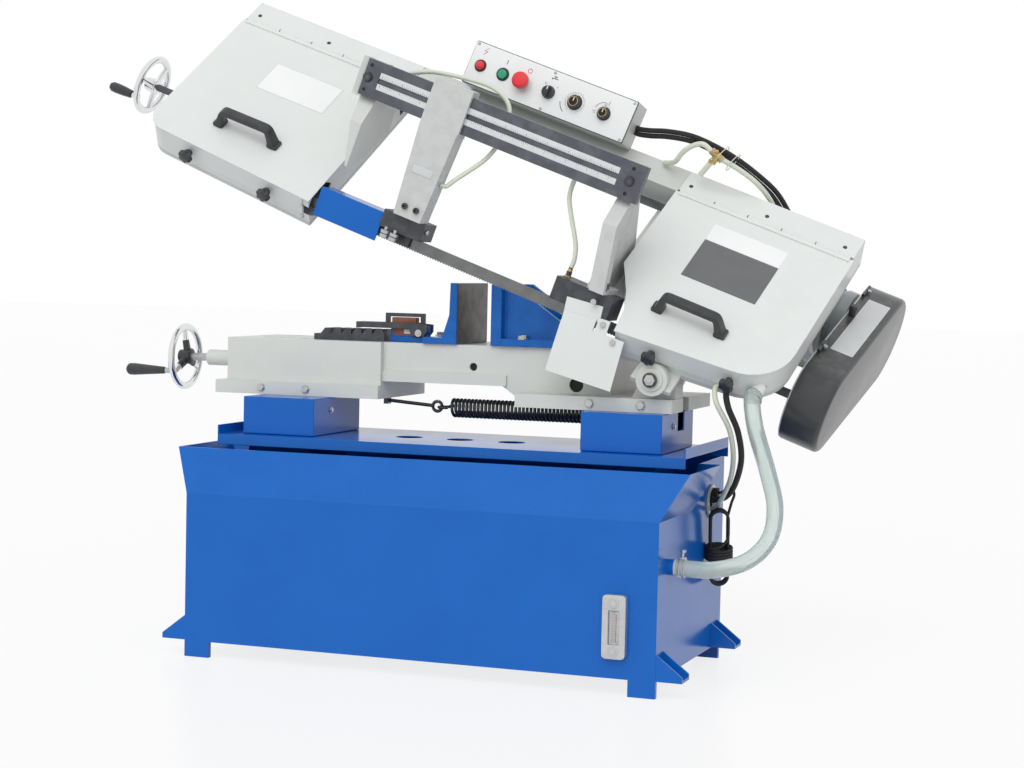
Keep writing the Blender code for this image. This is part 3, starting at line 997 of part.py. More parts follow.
def build_drive(bow, lean):
    y0 = BOX_BACK + 0.0003 + BACK_PLATE + GAP
    in_y, in_z = GEAR_INPUT
    piece("gearbox", RUST, lean, block(-0.050, 0.130, y0, 0.190, -0.062, 0.085), [
        rod((0.100, in_y, in_z), (0.145, in_y, in_z), 0.024, 16),
        block(-0.065, 0.145, y0, y0 + 0.014, -0.062, 0.085),
    ], [
        rod((DRIVE_X, 0.0, 0), (DRIVE_X, 0.122, 0), 0.0145 + RUNNING),
        rod((0.095, in_y, in_z), (0.15, in_y, in_z), 0.0100 + RUNNING, 16),
    ])
    m_y, m_z = MOTOR_AXIS
    piece("motor", MOTOR, lean,
          turned([(-0.030, 0.060), (-0.022, MOTOR_R), (0.015, MOTOR_R), (0.020, MOTOR_R - 0.004),
                  (0.205, MOTOR_R - 0.004), (0.210, MOTOR_R), (0.232, MOTOR_R), (0.235, 0.060)],
                 (0, m_y, m_z), (1, 0, 0)), [
        block(0.030, 0.190, m_y - 0.050, m_y + 0.050, 0.2276, 0.2576),
        block(0.060, 0.150, m_y + 0.030, m_y + 0.098, m_z - 0.035, m_z + 0.035),
    ], [rod((0.200, m_y, m_z), (0.24, m_y, m_z), 0.0100 + RUNNING, 16)])
    g0 = GUARD_X
    nose_hub, tail_hub = lean_point(0, in_y, in_z)[1:], lean_point(0, m_y, m_z)[1:]
    outline = hull_of_two(NOSE, NOSE_R, TAIL, TAIL_R)
    piece("belt_guard_back", GREY, bow, prism(outline, "X", g0, g0 + SHEET), [
        turned([(0.2353, 0.050), (g0 + 0.001, 0.050)], (0, *tail_hub), (1, 0, 0), 16),
        rod((0.1303, *lean_point(0, 0.110, 0.020)[1:]), (g0 + 0.001, *lean_point(0, 0.110, 0.020)[1:]), 0.0080, 12),
    ], [rod((0.10, *nose_hub), (0.30, *nose_hub), 0.0130, 16), rod((0.20, *tail_hub), (0.30, *tail_hub), 0.0130, 16)])
    c0, c1 = g0 + SHEET + GAP, g0 + GUARD_DEPTH
    slope = math.atan2(TAIL[1] - NOSE[1], TAIL[0] - NOSE[0])
    lean_out = math.asin((TAIL_R - NOSE_R) / math.hypot(TAIL[0] - NOSE[0], TAIL[1] - NOSE[1]))
    edge = slope + lean_out
    along = (math.cos(edge), math.sin(edge))
    normal = (-along[1], along[0])
    first = (NOSE[0] + normal[0] * (NOSE_R + 0.0045), NOSE[1] + normal[1] * (NOSE_R + 0.0045))
    hinges = []
    for start, end in ((0.020, 0.075), (0.240, 0.295)):
        p = [(c0 + 0.0030, first[0] + along[0] * d, first[1] + along[1] * d) for d in (start, end)]
        hinges.append(rod(p[0], p[1], 0.0038, 10))
        a = (first[0] + along[0] * start, first[1] + along[1] * start)
        b = (first[0] + along[0] * end, first[1] + along[1] * end)
        c = (b[0] - normal[0] * 0.007, b[1] - normal[1] * 0.007)
        d = (a[0] - normal[0] * 0.007, a[1] - normal[1] * 0.007)
        hinges.append(prism([a, b, c, d], "X", c0 + 0.0015, c0 + 0.0045))
    seat = (c0 + 0.045, first[0] + along[0] * 0.150 - normal[0] * 0.006, first[1] + along[1] * 0.150 - normal[1] * 0.006)
    tip = (seat[0], seat[1] + normal[0] * 0.026, seat[2] + normal[1] * 0.026)
    piece("belt_cover", GUARD_BLACK, bow, prism(outline, "X", c0, c1), hinges + [rod(seat, tip, 0.0090, 16)],
          [prism(hull_of_two(NOSE, NOSE_R - 0.0025, TAIL, TAIL_R - 0.0025), "X", c0 - 0.01, c1 - 0.0025)],
          origin=(c0 + 0.0030, *first))
    belt = (c0 + 0.0160, c0 + 0.0270)
    for name, hub, r, shaft in (("gearbox_pulley", nose_hub, 0.0560, 0.1000), ("motor_pulley", tail_hub, 0.0360, 0.2050)):
        profile = [(c0 + 0.0060, 0.0200), (c0 + 0.0060, r + 0.009), (belt[0] - GAP, r + 0.009), (belt[0] - GAP, r),
                   (belt[1] + GAP, r), (belt[1] + GAP, r + 0.009), (belt[1] + 0.006, r + 0.009),
                   (belt[1] + 0.006, r - 0.010), (belt[1] + 0.020, r - 0.010), (belt[1] + 0.020, 0.0200)]
        piece(name, CAST, bow, turned(profile, (0, *hub), (1, 0, 0)),
              [rod((shaft, *hub), (belt[1] + 0.026, *hub), 0.0100, 16)], origin=(0, *hub))
    outer = hull_of_two(nose_hub, 0.0640, tail_hub, 0.0440, 18)
    inner = hull_of_two(nose_hub, 0.0566, tail_hub, 0.0366, 18)
    piece("v_belt", RUBBER, bow, prism(outer, "X", *belt), cut=[prism(inner, "X", belt[0] - 0.01, belt[1] + 0.01)])


# ---------------------------------------------------------------- cords


def build_cords(stand, bow):
    cord("drain_hose", CLEAR, stand, DRAIN_ROUTE, DRAIN_D)
    cord("coolant_hose", MILKY, stand, COOLANT_ROUTE, COOLANT_D)
    cord("conduit", RUBBER, stand, CONDUIT_ROUTE, CONDUIT_D)
    cord("power_cord", RUBBER, stand, POWER_ROUTE, POWER_D)
    cord("left_guide_hose", MILKY, bow, LEFT_HOSE_ROUTE, GUIDE_HOSE_D)
    cord("right_guide_hose", MILKY, bow, RIGHT_HOSE_ROUTE, GUIDE_HOSE_D)
    cord("bow_cables", RUBBER, bow, BOW_CABLES_ROUTE, BOW_CABLES_D)
    top, bottom = Vector(HANK[0]), Vector(HANK[1])
    along = (bottom - top).normalized()
    wide = along.cross(Vector((1, 0, 0))).normalized()
    deep = wide.cross(along)
    rings = []
    for share, w, d in ((0.0, 0.010, 0.008), (0.05, 0.020, 0.014), (0.20, 0.024, 0.016), (0.36, 0.020, 0.015),
                        (0.40, 0.022, 0.019), (0.62, 0.022, 0.019), (0.66, 0.020, 0.015), (0.82, 0.024, 0.016),
                        (0.96, 0.020, 0.013), (1.0, 0.010, 0.007)):
        centre = top.lerp(bottom, share)
        rings.append([tuple(centre + wide * (w * math.cos(t)) + deep * (d * math.sin(t)))
                      for t in (2 * math.pi * i / 12 for i in range(12))])
    piece("cord_hank", RUBBER, stand, loft(rings))


def settle(root, loose):
    """Moves everything so that the middle of the solid pieces' footprint stands at the origin."""
    bpy.context.view_layer.update()
    graph = bpy.context.evaluated_depsgraph_get()
    low, high = Vector((9, 9, 9)), Vector((-9, -9, -9))
    for obj in bpy.context.scene.objects:
        if obj.type != "MESH" or obj.hide_render or obj.name in loose:
            continue
        solid = obj.evaluated_get(graph)
        mesh = solid.to_mesh()
        for vertex in mesh.vertices:
            place = solid.matrix_world @ vertex.co
            for i in range(3):
                low[i] = min(low[i], place[i])
                high[i] = max(high[i], place[i])
        solid.to_mesh_clear()
    root.location = (-(low.x + high.x) / 2, -(low.y + high.y) / 2, -low.z)


def main():
    clear_scene()
    root = empty("saw")
    stand = empty("stand", root)
    bow = empty("bow", stand, PIVOT, (0, RAISED, 0))
    lean = empty("wheel_boxes", bow, (0, *AXLE_LINE), (-LEAN, 0, 0))
    panel = empty("panel", bow, (0, *PANEL_LOW), (-PANEL_LEAN, 0, 0))
    build_cabinet(stand)
    build_cabinet_fittings(stand)
    build_pan_and_pedestals(stand)
    build_bed(stand)
    build_spring(stand)
    build_vise(stand)
    build_bow_frame(bow)
    build_wheel_boxes(lean)
    build_door(lean, "left_door", left_outline(DOOR_TOP), (-1.235, -0.870), (-1.175, -0.960),
               ((-1.152, -0.112), (-1.010, -0.112)))
    build_door(lean, "right_door", right_outline(DOOR_TOP), (-0.095, 0.165), (-0.020, 0.150),
               ((-0.055, -0.119), (0.088, -0.119)))
    build_wheels(lean)
    build_blade(lean)
    build_guides(bow)
    build_shield(bow)
    build_control_box(panel)
    build_drive(bow, lean)
    build_cords(stand, bow)
    settle(root, ("drain_hose", "coolant_hose", "conduit", "power_cord", "cord_hank", "left_guide_hose",
                  "right_guide_hose", "bow_cables"))


main()
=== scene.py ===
"""Finished look of a horizontal band saw for metal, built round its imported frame."""
import json
import math

import bmesh
import bpy
import numpy as np
from bpy.props import FloatProperty, FloatVectorProperty, IntProperty, PointerProperty
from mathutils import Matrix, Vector


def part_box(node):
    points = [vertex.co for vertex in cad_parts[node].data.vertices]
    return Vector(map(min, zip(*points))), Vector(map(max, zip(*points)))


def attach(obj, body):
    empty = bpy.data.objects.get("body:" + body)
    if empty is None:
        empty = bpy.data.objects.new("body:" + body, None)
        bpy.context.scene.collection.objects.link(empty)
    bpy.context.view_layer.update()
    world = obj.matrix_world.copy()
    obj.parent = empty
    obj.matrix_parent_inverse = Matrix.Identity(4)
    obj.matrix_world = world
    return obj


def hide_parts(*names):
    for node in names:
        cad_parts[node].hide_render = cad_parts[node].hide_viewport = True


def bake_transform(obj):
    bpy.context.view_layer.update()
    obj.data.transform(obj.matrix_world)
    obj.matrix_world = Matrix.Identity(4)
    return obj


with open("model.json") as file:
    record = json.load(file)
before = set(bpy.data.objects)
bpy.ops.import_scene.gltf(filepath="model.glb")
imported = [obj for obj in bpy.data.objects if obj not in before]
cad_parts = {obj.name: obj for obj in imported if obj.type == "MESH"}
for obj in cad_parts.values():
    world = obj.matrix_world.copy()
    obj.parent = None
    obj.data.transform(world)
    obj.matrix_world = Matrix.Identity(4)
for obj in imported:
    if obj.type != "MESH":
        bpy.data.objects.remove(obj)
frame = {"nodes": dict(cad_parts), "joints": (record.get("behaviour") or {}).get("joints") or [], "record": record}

bl_info = {
    "name": "Horizontal band saw",
    "version": (1, 0, 0),
    "blender": (4, 5, 0),
    "location": "View3D > Sidebar > Band saw",
    "description": "Builds the finished look of a horizontal band saw on its packed frame",
    "category": "Add Mesh",
}

RECORD = frame["record"]
BODY_OF = {node: body for body, nodes in RECORD["behaviour"]["bodies"].items() for node in nodes}
SLOT_OF = {part["node"]: part["material_slot"] for part in RECORD["subparts"]}
JOINTS = {joint["name"]: joint for joint in frame["joints"]}


# ---------------------------------------------------------------- places


class Place:
    """A local frame: a point (x, y, z) lies at origin + x * axis 0 + y * axis 1 + z * axis 2."""

    def __init__(self, origin, axes):
        self.origin = np.array(origin, float)
        self.axes = np.array(axes, float)

    def at(self, points):
        return self.origin + np.asarray(points, float) @ self.axes


PIVOT = np.array(JOINTS["bow_pivot"]["pos_m"])
ALONG = np.array(JOINTS["guide_arm_slide"]["axis"])
BACK = np.array((0.0, 1.0, 0.0))
INTO_BOX = np.array(JOINTS["drive_spin"]["axis"])
INTO_PANEL = np.array(JOINTS["start_button_press"]["axis"])
PIVOT_FROM_STAND = (0.465, 0.120, 0.632)
STAND = Place(PIVOT - PIVOT_FROM_STAND, np.eye(3))
BOW = Place(PIVOT, (ALONG, BACK, np.cross(ALONG, BACK)))
WHEEL_LINE = (0, 0.1903, 0.1881)
BOX = Place(BOW.at(WHEEL_LINE), (ALONG, INTO_BOX, np.cross(ALONG, INTO_BOX)))
PANEL_CORNER = (0, 0.290, 0.413)
PANEL = Place(BOW.at(PANEL_CORNER), (ALONG, INTO_PANEL, np.cross(ALONG, INTO_PANEL)))

# The bow's angle at rest and the lean of its wheels.
PIVOT_ANGLE = math.radians(20.3)
WHEEL_LEAN = math.radians(47.0)

# Wheels, band and blade guides, in the wheel boxes' frame.
WHEEL_R = 0.1848
BAND_R = WHEEL_R + 0.0010
BAND_HALF_W, BAND_HALF_T = 0.0135, 0.00045
IDLER_X, DRIVE_X = -1.078, 0.033
GUIDE_LEFT, GUIDE_RIGHT = -0.640, -0.200

# Doors, guide bar and their knobs.
DOOR_OUT = 0.0387
DOOR_TOP = 0.2134
BAR_FRONT = 0.006
BAR_MIDDLE = 0.3625
KNOB_Y, KNOB_RISE = -0.0160, 0.0023

# Vise, bed and stand, in the stand's frame.
SCREW_Y, SCREW_Z = 0.300, 0.635
VISE_WHEEL_X = -0.700
MOVING_FACE_X, FIXED_FACE_X = -0.0063, 0.0730
SPRING_Y, SPRING_Z = 0.2880, 0.5455
DRAIN_Y, DRAIN_Z = 0.080, 0.257
GAUGE_X, GAUGE_Z = (0.4205, 0.4695), (0.0770, 0.2065)

# Tension screw, motor and belt guard.
TENSION_X, TENSION_END, TENSION_Y = -1.4290, -1.118, 0.0600
MOTOR_Y, MOTOR_Z = 0.2707, 0.3076
NOSE, NOSE_R = (0.268, 0.052), 0.093
TAIL, TAIL_R = (0.600, 0.200), 0.105
GUARD_X, GUARD_GAP, GUARD_DEPTH, GUARD_WALL = 0.2475, 0.0033, 0.0875, 0.0025

# Controls and the mains lead.
CONTROL_Z = 0.0475
LEAD_D, LEAD_BEND = 0.0062, 0.0190

# The camera: its place, how it is turned (radians) and its focal length (mm).
CAMERA_AT = (1.6819, -4.0747, 0.8584)
CAMERA_YAW, CAMERA_PITCH, CAMERA_ROLL = 0.3463, -0.055, 0.0223
CAMERA_LENS = 74.9496

# Cord routes: the first four in the stand's frame and the rest in the bow's.
DRAIN = (
    (0.6749, 0.1808, 0.6086), (0.6710, 0.1686, 0.5979), (0.6830, 0.1560, 0.5400), (0.7090, 0.1620, 0.4550),
    (0.7280, 0.1560, 0.3830), (0.7230, 0.1340, 0.3200), (0.6850, 0.1050, 0.2760), (0.6200, 0.0800, 0.2570),
    (0.5426, 0.0800, 0.2570),
)
COOLANT = (
    (0.5955, 0.1803, 0.6244), (0.5922, 0.1703, 0.6157), (0.5990, 0.1620, 0.5880), (0.6200, 0.1900, 0.5340),
    (0.6200, 0.2300, 0.4780), (0.6000, 0.2900, 0.4200), (0.5630, 0.3500, 0.3640), (0.5400, 0.3940, 0.3440),
    (0.5180, 0.4120, 0.3420),
)
CONDUIT = (
    (0.6194, 0.1818, 0.6171), (0.6159, 0.1710, 0.6076), (0.6230, 0.1680, 0.5780), (0.6350, 0.2030, 0.5290),
    (0.6340, 0.2440, 0.4700), (0.6080, 0.3040, 0.4120), (0.5760, 0.3620, 0.3780), (0.5480, 0.3880, 0.3660),
    (0.5180, 0.3930, 0.3620),
)
LEAD = (
    (0.5180, 0.4060, 0.3790), (0.5480, 0.4060, 0.3790), (0.5660, 0.3970, 0.3870), (0.5820, 0.3780, 0.3925),
    (0.5925, 0.3600, 0.3820), (0.5885, 0.3530, 0.3640), (0.5815, 0.3560, 0.3440),
)
LEFT_HOSE = (
    (-0.5822, 0.0220, 0.2060), (-0.5700, 0.0220, 0.2090), (-0.5560, 0.0260, 0.2300), (-0.5350, 0.0340, 0.2600),
    (-0.5160, 0.0420, 0.2900), (-0.5030, 0.0460, 0.3250), (-0.4990, 0.0480, 0.3600), (-0.5020, 0.0520, 0.3900),
    (-0.5140, 0.0560, 0.4140), (-0.5400, 0.0590, 0.4300), (-0.5770, 0.0600, 0.4365), (-0.6410, 0.0600, 0.4313),
    (-0.7000, 0.0580, 0.4210), (-0.7350, 0.0540, 0.4070), (-0.7620, 0.0490, 0.3930), (-0.7780, 0.0460, 0.3900),
    (-0.7893, 0.0450, 0.3900),
)
RIGHT_HOSE = (
    (-0.2560, 0.0500, 0.1476), (-0.2555, 0.0500, 0.1640), (-0.2620, 0.0500, 0.1900), (-0.2760, 0.0500, 0.2160),
    (-0.2960, 0.0500, 0.2480), (-0.3130, 0.0500, 0.2800), (-0.3160, 0.0470, 0.3080), (-0.3100, 0.0390, 0.3350),
    (-0.3010, 0.0320, 0.3580), (-0.2930, 0.0297, 0.3740), (-0.2850, 0.0297, 0.3900),
)
CABLES = (
    (-0.3214, 0.3500, 0.4500), (-0.3100, 0.3500, 0.4500), (-0.2850, 0.3490, 0.4560), (-0.2480, 0.3450, 0.4675),
    (-0.1950, 0.3420, 0.4770), (-0.1400, 0.3430, 0.4750), (-0.0850, 0.3580, 0.4650), (-0.0350, 0.3850, 0.4480),
    (0.0050, 0.4250, 0.4270), (0.0350, 0.4600, 0.3980), (0.0600, 0.4900, 0.3660), (0.0800, 0.5200, 0.3300),
    (0.0950, 0.5440, 0.2940), (0.1000, 0.5606, 0.2684),
)
BRANCH = (
    (-0.2350, 0.3560, 0.4060), (-0.2062, 0.3300, 0.4180), (-0.1941, 0.3180, 0.4430), (-0.1774, 0.3120, 0.4640),
    (-0.1555, 0.3100, 0.4760), (-0.1300, 0.3100, 0.4680), (-0.1050, 0.3150, 0.4600), (-0.0682, 0.3300, 0.4530),
    (-0.0300, 0.3560, 0.4400), (0.0000, 0.3900, 0.4200), (0.0200, 0.4200, 0.3950), (0.0300, 0.4450, 0.3600),
)


# ---------------------------------------------------------------- surfaces: (points, faces)


def skin(rows, around=True, along=False, caps=True):
    """Quads over rows of points: row i, column j is joined to row i + 1 and column j + 1, and polygons close both
    ends."""
    rows = np.asarray(rows, float)
    m, n = rows.shape[:2]
    i = np.arange(m if along else m - 1)[:, None]
    j = np.arange(n if around else n - 1)[None, :]
    after, beside = (i + 1) % m, (j + 1) % n
    quads = np.stack([i * n + j, i * n + beside, after * n + beside, after * n + j], -1).reshape(-1, 4)
    faces = quads.tolist()
    if caps and not along:
        faces += [list(range(n))[::-1], list(range((m - 1) * n, m * n))]
    return rows.reshape(-1, 3), faces


def joined(surfaces):
    """Several surfaces as one list of points and one of faces, each face's numbers raised by the points before it."""
    points, faces, base = [], [], 0
    for some, more in surfaces:
        points.append(np.asarray(some, float))
        faces += [[base + k for k in face] for face in more]
        base += len(some)
    return np.concatenate(points), faces


def across(direction):
    """Two unit vectors square to a direction and to each other."""
    d = np.asarray(direction, float) / np.linalg.norm(direction)
    helper = np.array((0.0, 0.0, 1.0)) if abs(d[2]) < 0.9 else np.array((1.0, 0.0, 0.0))
    first = np.cross(helper, d)
    first /= np.linalg.norm(first)
    return d, first, np.cross(d, first)


def turned(profile, centre, direction, sides=40, waves=0, depth=0.0):
    """A profile of (distance a, radius r) turned about an axis: centre + a * axis + r(t) * (cos t, sin t), where
    r(t) = r * (1 - depth * (1 - cos(waves * t)) / 2), so that waves and depth cut flutes into it."""
    d, e1, e2 = across(direction)
    t = np.linspace(0, 2 * math.pi, sides, endpoint=False)
    a = np.array([p[0] for p in profile])[:, None, None]
    r = np.array([max(p[1], 1e-5) for p in profile])[:, None, None]
    ring = np.cos(t)[:, None] * e1 + np.sin(t)[:, None] * e2
    shrink = 1 - depth * (1 - np.cos(waves * t)) / 2 if waves else np.ones(sides)
    return skin(np.asarray(centre, float) + a * d + r * (ring * shrink[:, None])[None])


def smooth_path(points, per_span=8):
    """Points on cubic spans through the given ones: the tangent at each is half the step between its neighbours."""
    p = np.asarray(points, float)
    if len(p) < 3:
        return p
    ends = np.concatenate([[2 * p[0] - p[1]], p, [2 * p[-1] - p[-2]]])
    t = np.linspace(0, 1, per_span, endpoint=False)[None, :, None]
    a, b = ends[1:-2, None], ends[2:-1, None]
    ta, tb = (b - ends[:-3, None]) / 2, (ends[3:, None] - a) / 2
    line = (2 * t**3 - 3 * t**2 + 1) * a + (t**3 - 2 * t**2 + t) * ta + (3 * t**2 - 2 * t**3) * b + (t**3 - t**2) * tb
    return np.concatenate([line.reshape(-1, 3), p[-1:]])


def carried_axes(path):
    """Unit tangents of a path and a side vector that turns as little as it can along it."""
    path = np.asarray(path, float)
    tangent = np.gradient(path, axis=0)
    tangent /= np.linalg.norm(tangent, axis=1)[:, None]
    side = np.empty_like(path)
    side[0] = across(tangent[0])[1]
    for k in range(1, len(path)):
        moved = side[k - 1] - tangent[k] * np.dot(side[k - 1], tangent[k])
        side[k] = moved / np.linalg.norm(moved)
    return tangent, side


def tube(path, radius, around=14):
    """A round section of the given radius, one number or one for each point, carried along a path."""
    path = np.asarray(path, float)
    tangent, side = carried_axes(path)
    other = np.cross(tangent, side)
    t = np.linspace(0, 2 * math.pi, around, endpoint=False)[None, :, None]
    r = np.broadcast_to(np.asarray(radius, float), len(path))[:, None, None]
    return skin(path[:, None] + r * (np.cos(t) * side[:, None] + np.sin(t) * other[:, None]))


def ring(centre, direction, big, small, sides=56, around=14, flat=1.0):
    """A torus: at angle t about its axis the section's middle lies big away, and the section is small by
    flat * small."""
    d, e1, e2 = across(direction)
    t = np.linspace(0, 2 * math.pi, sides, endpoint=False)[:, None, None]
    s = np.linspace(0, 2 * math.pi, around, endpoint=False)[None, :, None]
    out = np.cos(t) * e1 + np.sin(t) * e2
    return skin(np.asarray(centre, float) + out * (big + small * np.cos(s)) + d * small * flat * np.sin(s),
                along=True)


def inset(outline, distance):
    """A closed 2-D outline moved inwards by a distance, each corner along the mitre of its two edges."""
    p = np.asarray(outline, float)
    before, after = np.roll(p, 1, 0), np.roll(p, -1, 0)
    area = np.sum(p[:, 0] * after[:, 1] - after[:, 0] * p[:, 1])
    one, two = p - before, after - p
    one /= np.linalg.norm(one, axis=1)[:, None]
    two /= np.linalg.norm(two, axis=1)[:, None]
    turn = 1.0 if area > 0 else -1.0
    n1, n2 = np.stack([-one[:, 1], one[:, 0]], 1) * turn, np.stack([-two[:, 1], two[:, 0]], 1) * turn
    share = 1 + np.sum(n1 * n2, axis=1)
    return p + (n1 + n2) * (distance / np.maximum(share, 0.3))[:, None]


def slab(outline, y0, y1, soft=0.001, steps=3, way="Y"):
    """An (x, z) outline drawn out from y0 to y1, its rims rounded: at angle q of a quarter turn the outline is inset by
    soft * (1 - sin q) and lies soft * (1 - cos q) in from the end."""
    q = np.linspace(0, math.pi / 2, steps + 1)
    ins = soft * (1 - np.sin(q))
    dep = soft * (1 - np.cos(q))
    stations = list(zip(ins, y0 + dep)) + list(zip(ins[::-1], y1 - dep[::-1]))
    rows = []
    for shrink, y in stations:
        flat = inset(outline, shrink)
        rows.append(np.stack([flat[:, 0], np.full(len(flat), y), flat[:, 1]], 1))
    rows = np.array(rows)
    if way == "X":
        rows = rows[:, :, [1, 0, 2]]
    if way == "Z":
        rows = rows[:, :, [0, 2, 1]]
    return skin(rows)


def round_rect(x0, x1, z0, z1, r, steps=5):
    """A rectangle whose corners are quarter circles of radius r."""
    q = np.linspace(0, math.pi / 2, steps + 1)
    corners = [(x1 - r, z1 - r, 0), (x0 + r, z1 - r, 1), (x0 + r, z0 + r, 2), (x1 - r, z0 + r, 3)]
    return np.concatenate([
        np.stack([cx + r * np.cos(q + k * math.pi / 2), cz + r * np.sin(q + k * math.pi / 2)], 1)
        for cx, cz, k in corners
    ])


def soft_box(low, high, soft=0.001):
    """A box with every edge rounded by soft."""
    return slab(round_rect(low[0], high[0], low[2], high[2], soft, 3), low[1], high[1], soft)


def frame_ring(outer, inner, y0, y1):
    """A flat ring between two outlines of as many points each, from y0 to y1."""
    rows = [np.stack([o[:, 0], np.full(len(o), y), o[:, 1]], 1)
            for o, y in ((outer, y1), (outer, y0), (inner, y0), (inner, y1))]
    return skin(rows, along=True)


def bars(rects, y0, y1):
    """Many thin upright boxes at once, one for each (x0, x1, z0, z1)."""
    r = np.asarray(rects, float)
    x = r[:, [0, 1, 1, 0, 0, 1, 1, 0]]
    z = r[:, [2, 2, 3, 3, 2, 2, 3, 3]]
    y = np.broadcast_to([y0] * 4 + [y1] * 4, x.shape)
    sides = np.array([(0, 1, 2, 3), (7, 6, 5, 4), (0, 4, 5, 1), (1, 5, 6, 2), (2, 6, 7, 3), (3, 7, 4, 0)])
    faces = (np.arange(len(r))[:, None, None] * 8 + sides[None]).reshape(-1, 4)
    return np.stack([x, y, z], -1).reshape(-1, 3), faces.tolist()


def stroke(points, width, y0, y1):
    """A line of even width through (x, z) points: each point moved half the width to both sides, drawn out from
    y0 to y1."""
    p = np.asarray(points, float)
    along = np.gradient(p, axis=0)
    along /= np.linalg.norm(along, axis=1)[:, None]
    side = np.stack([-along[:, 1], along[:, 0]], 1) * width / 2
    outline = np.concatenate([p + side, (p - side)[::-1]])
    rows = [np.stack([outline[:, 0], np.full(len(outline), y), outline[:, 1]], 1) for y in (y0, y1)]
    return skin(rows)


def arc_points(x, z, r, start, end, steps=24):
    """Points at (x + r * cos t, z + r * sin t), with t from start to end in degrees."""
    t = np.radians(np.linspace(start, end, steps))
    return np.stack([x + r * np.cos(t), z + r * np.sin(t)], 1)


def hex_head(centre, direction, r, height, washer=0.0):
    """A six-sided head with its corners turned down, on a flat washer."""
    parts = [turned([(0, r), (height - r * 0.14, r), (height, r * 0.86)], centre, direction, 6)]
    if washer:
        parts.append(turned([(-0.001, washer), (0.0006, washer), (0.0010, washer - 0.0004)], centre, direction, 28))
    return parts


def cap_screw(centre, direction, r, height):
    """A round head with a six-sided socket: the radius falls from r to the hexagon r6(t) = a / cos(t mod 60 - 30)."""
    d, e1, e2 = across(direction)
    t = np.linspace(0, 2 * math.pi, 36, endpoint=False)
    six = 0.5 * r * math.cos(math.pi / 6) / np.cos(np.mod(t, math.pi / 3) - math.pi / 6)
    line = np.cos(t)[:, None] * e1 + np.sin(t)[:, None] * e2
    rows = [(0, r + 0 * t), (height - 0.0008, r + 0 * t), (height, r * 0.9 + 0 * t), (height, six),
            (height * 0.35, six), (height * 0.35, six * 0.02)]
    return [skin([np.asarray(centre, float) + a * d + line * radius[:, None] for a, radius in rows])]


def dome_screw(centre, direction, r, height):
    """A pan head: at angle q of a quarter turn the radius is r * cos q and the height is height * sin q."""
    q = np.linspace(0, math.pi / 2, 7)
    return [turned([(-0.0005, r)] + [(height * math.sin(a), r * math.cos(a)) for a in q], centre, direction, 24)]


def coil(start, end, radius, wire, turns, around=8):
    """A helix about the line from start to end, at radius from it, as a tube of the wire's radius."""
    start, end = np.asarray(start, float), np.asarray(end, float)
    d, e1, e2 = across(end - start)
    s = np.linspace(0, 1, int(turns * 18) + 1)[:, None]
    t = 2 * math.pi * turns * s
    return tube(start + (end - start) * s + radius * (np.cos(t) * e1 + np.sin(t) * e2), wire, around)


def box_section(path, wide, thick, up, power=5.0, around=20):
    """A rounded-box section carried along a path: the superellipse |a/w|^power + |b/h|^power = 1, w along up."""
    path = np.asarray(path, float)
    tangent = np.gradient(path, axis=0)
    tangent /= np.linalg.norm(tangent, axis=1)[:, None]
    up = np.asarray(up, float) / np.linalg.norm(up)
    side = np.cross(tangent, up)
    side /= np.linalg.norm(side, axis=1)[:, None]
    t = np.linspace(0, 2 * math.pi, around, endpoint=False) + math.pi / around
    c, s = np.cos(t), np.sin(t)
    a = (np.sign(c) * np.abs(c) ** (2 / power))[None, :, None]
    b = (np.sign(s) * np.abs(s) ** (2 / power))[None, :, None]
    w = np.broadcast_to(np.asarray(wide, float), len(path))[:, None, None]
    h = np.broadcast_to(np.asarray(thick, float), len(path))[:, None, None]
    return skin(path[:, None] + a * w * up + b * h * side[:, None])


# ---------------------------------------------------------------- node groups and finishes


def new_group(name, inputs, outputs):
    """A shader group with named sockets, each input a (name, kind, value) and each output a (name, kind)."""
    tree = bpy.data.node_groups.new(name, "ShaderNodeTree")
    for label, kind, value in inputs:
        socket = tree.interface.new_socket(name=label, in_out="INPUT", socket_type=kind)
        socket.default_value = value
    for label, kind in outputs:
        tree.interface.new_socket(name=label, in_out="OUTPUT", socket_type=kind)
    return tree, tree.nodes.new("NodeGroupInput"), tree.nodes.new("NodeGroupOutput")


def noise(tree, scale, detail, where):
    """Noise of a scale, a number or a socket, at the coordinates where."""
    node = tree.nodes.new("ShaderNodeTexNoise")
    node.inputs["Detail"].default_value = detail
    if isinstance(scale, (int, float)):
        node.inputs["Scale"].default_value = scale
    else:
        tree.links.new(scale, node.inputs["Scale"])
    tree.links.new(where, node.inputs["Vector"])
    return node.outputs["Fac"]


def remap(tree, value, low, high, to_low=0.0, to_high=1.0):
    """A value eased from low..high to to_low..to_high by 3 t^2 - 2 t^3."""
    node = tree.nodes.new("ShaderNodeMapRange")
    node.interpolation_type = "SMOOTHSTEP"
    for label, what in (("Value", value), ("From Min", low), ("From Max", high), ("To Min", to_low),
                        ("To Max", to_high)):
        if isinstance(what, (int, float)):
            node.inputs[label].default_value = what
        else:
            tree.links.new(what, node.inputs[label])
    return node.outputs["Result"]


def figure(tree, operation, first, second):
    """One sum, product or other operation on two numbers or sockets."""
    node = tree.nodes.new("ShaderNodeMath")
    node.operation = operation
    for socket, what in zip(node.inputs, (first, second)):
        if isinstance(what, (int, float)):
            socket.default_value = what
        else:
            tree.links.new(what, socket)
    return node.outputs[0]


def blend_colour(tree, share, first, second):
    """(1 - share) of the first colour plus share of the second."""
    node = tree.nodes.new("ShaderNodeMix")
    node.data_type = "RGBA"
    for socket, what in ((node.inputs[0], share), (node.inputs[6], first), (node.inputs[7], second)):
        tree.links.new(what, socket)
    return node.outputs[2]


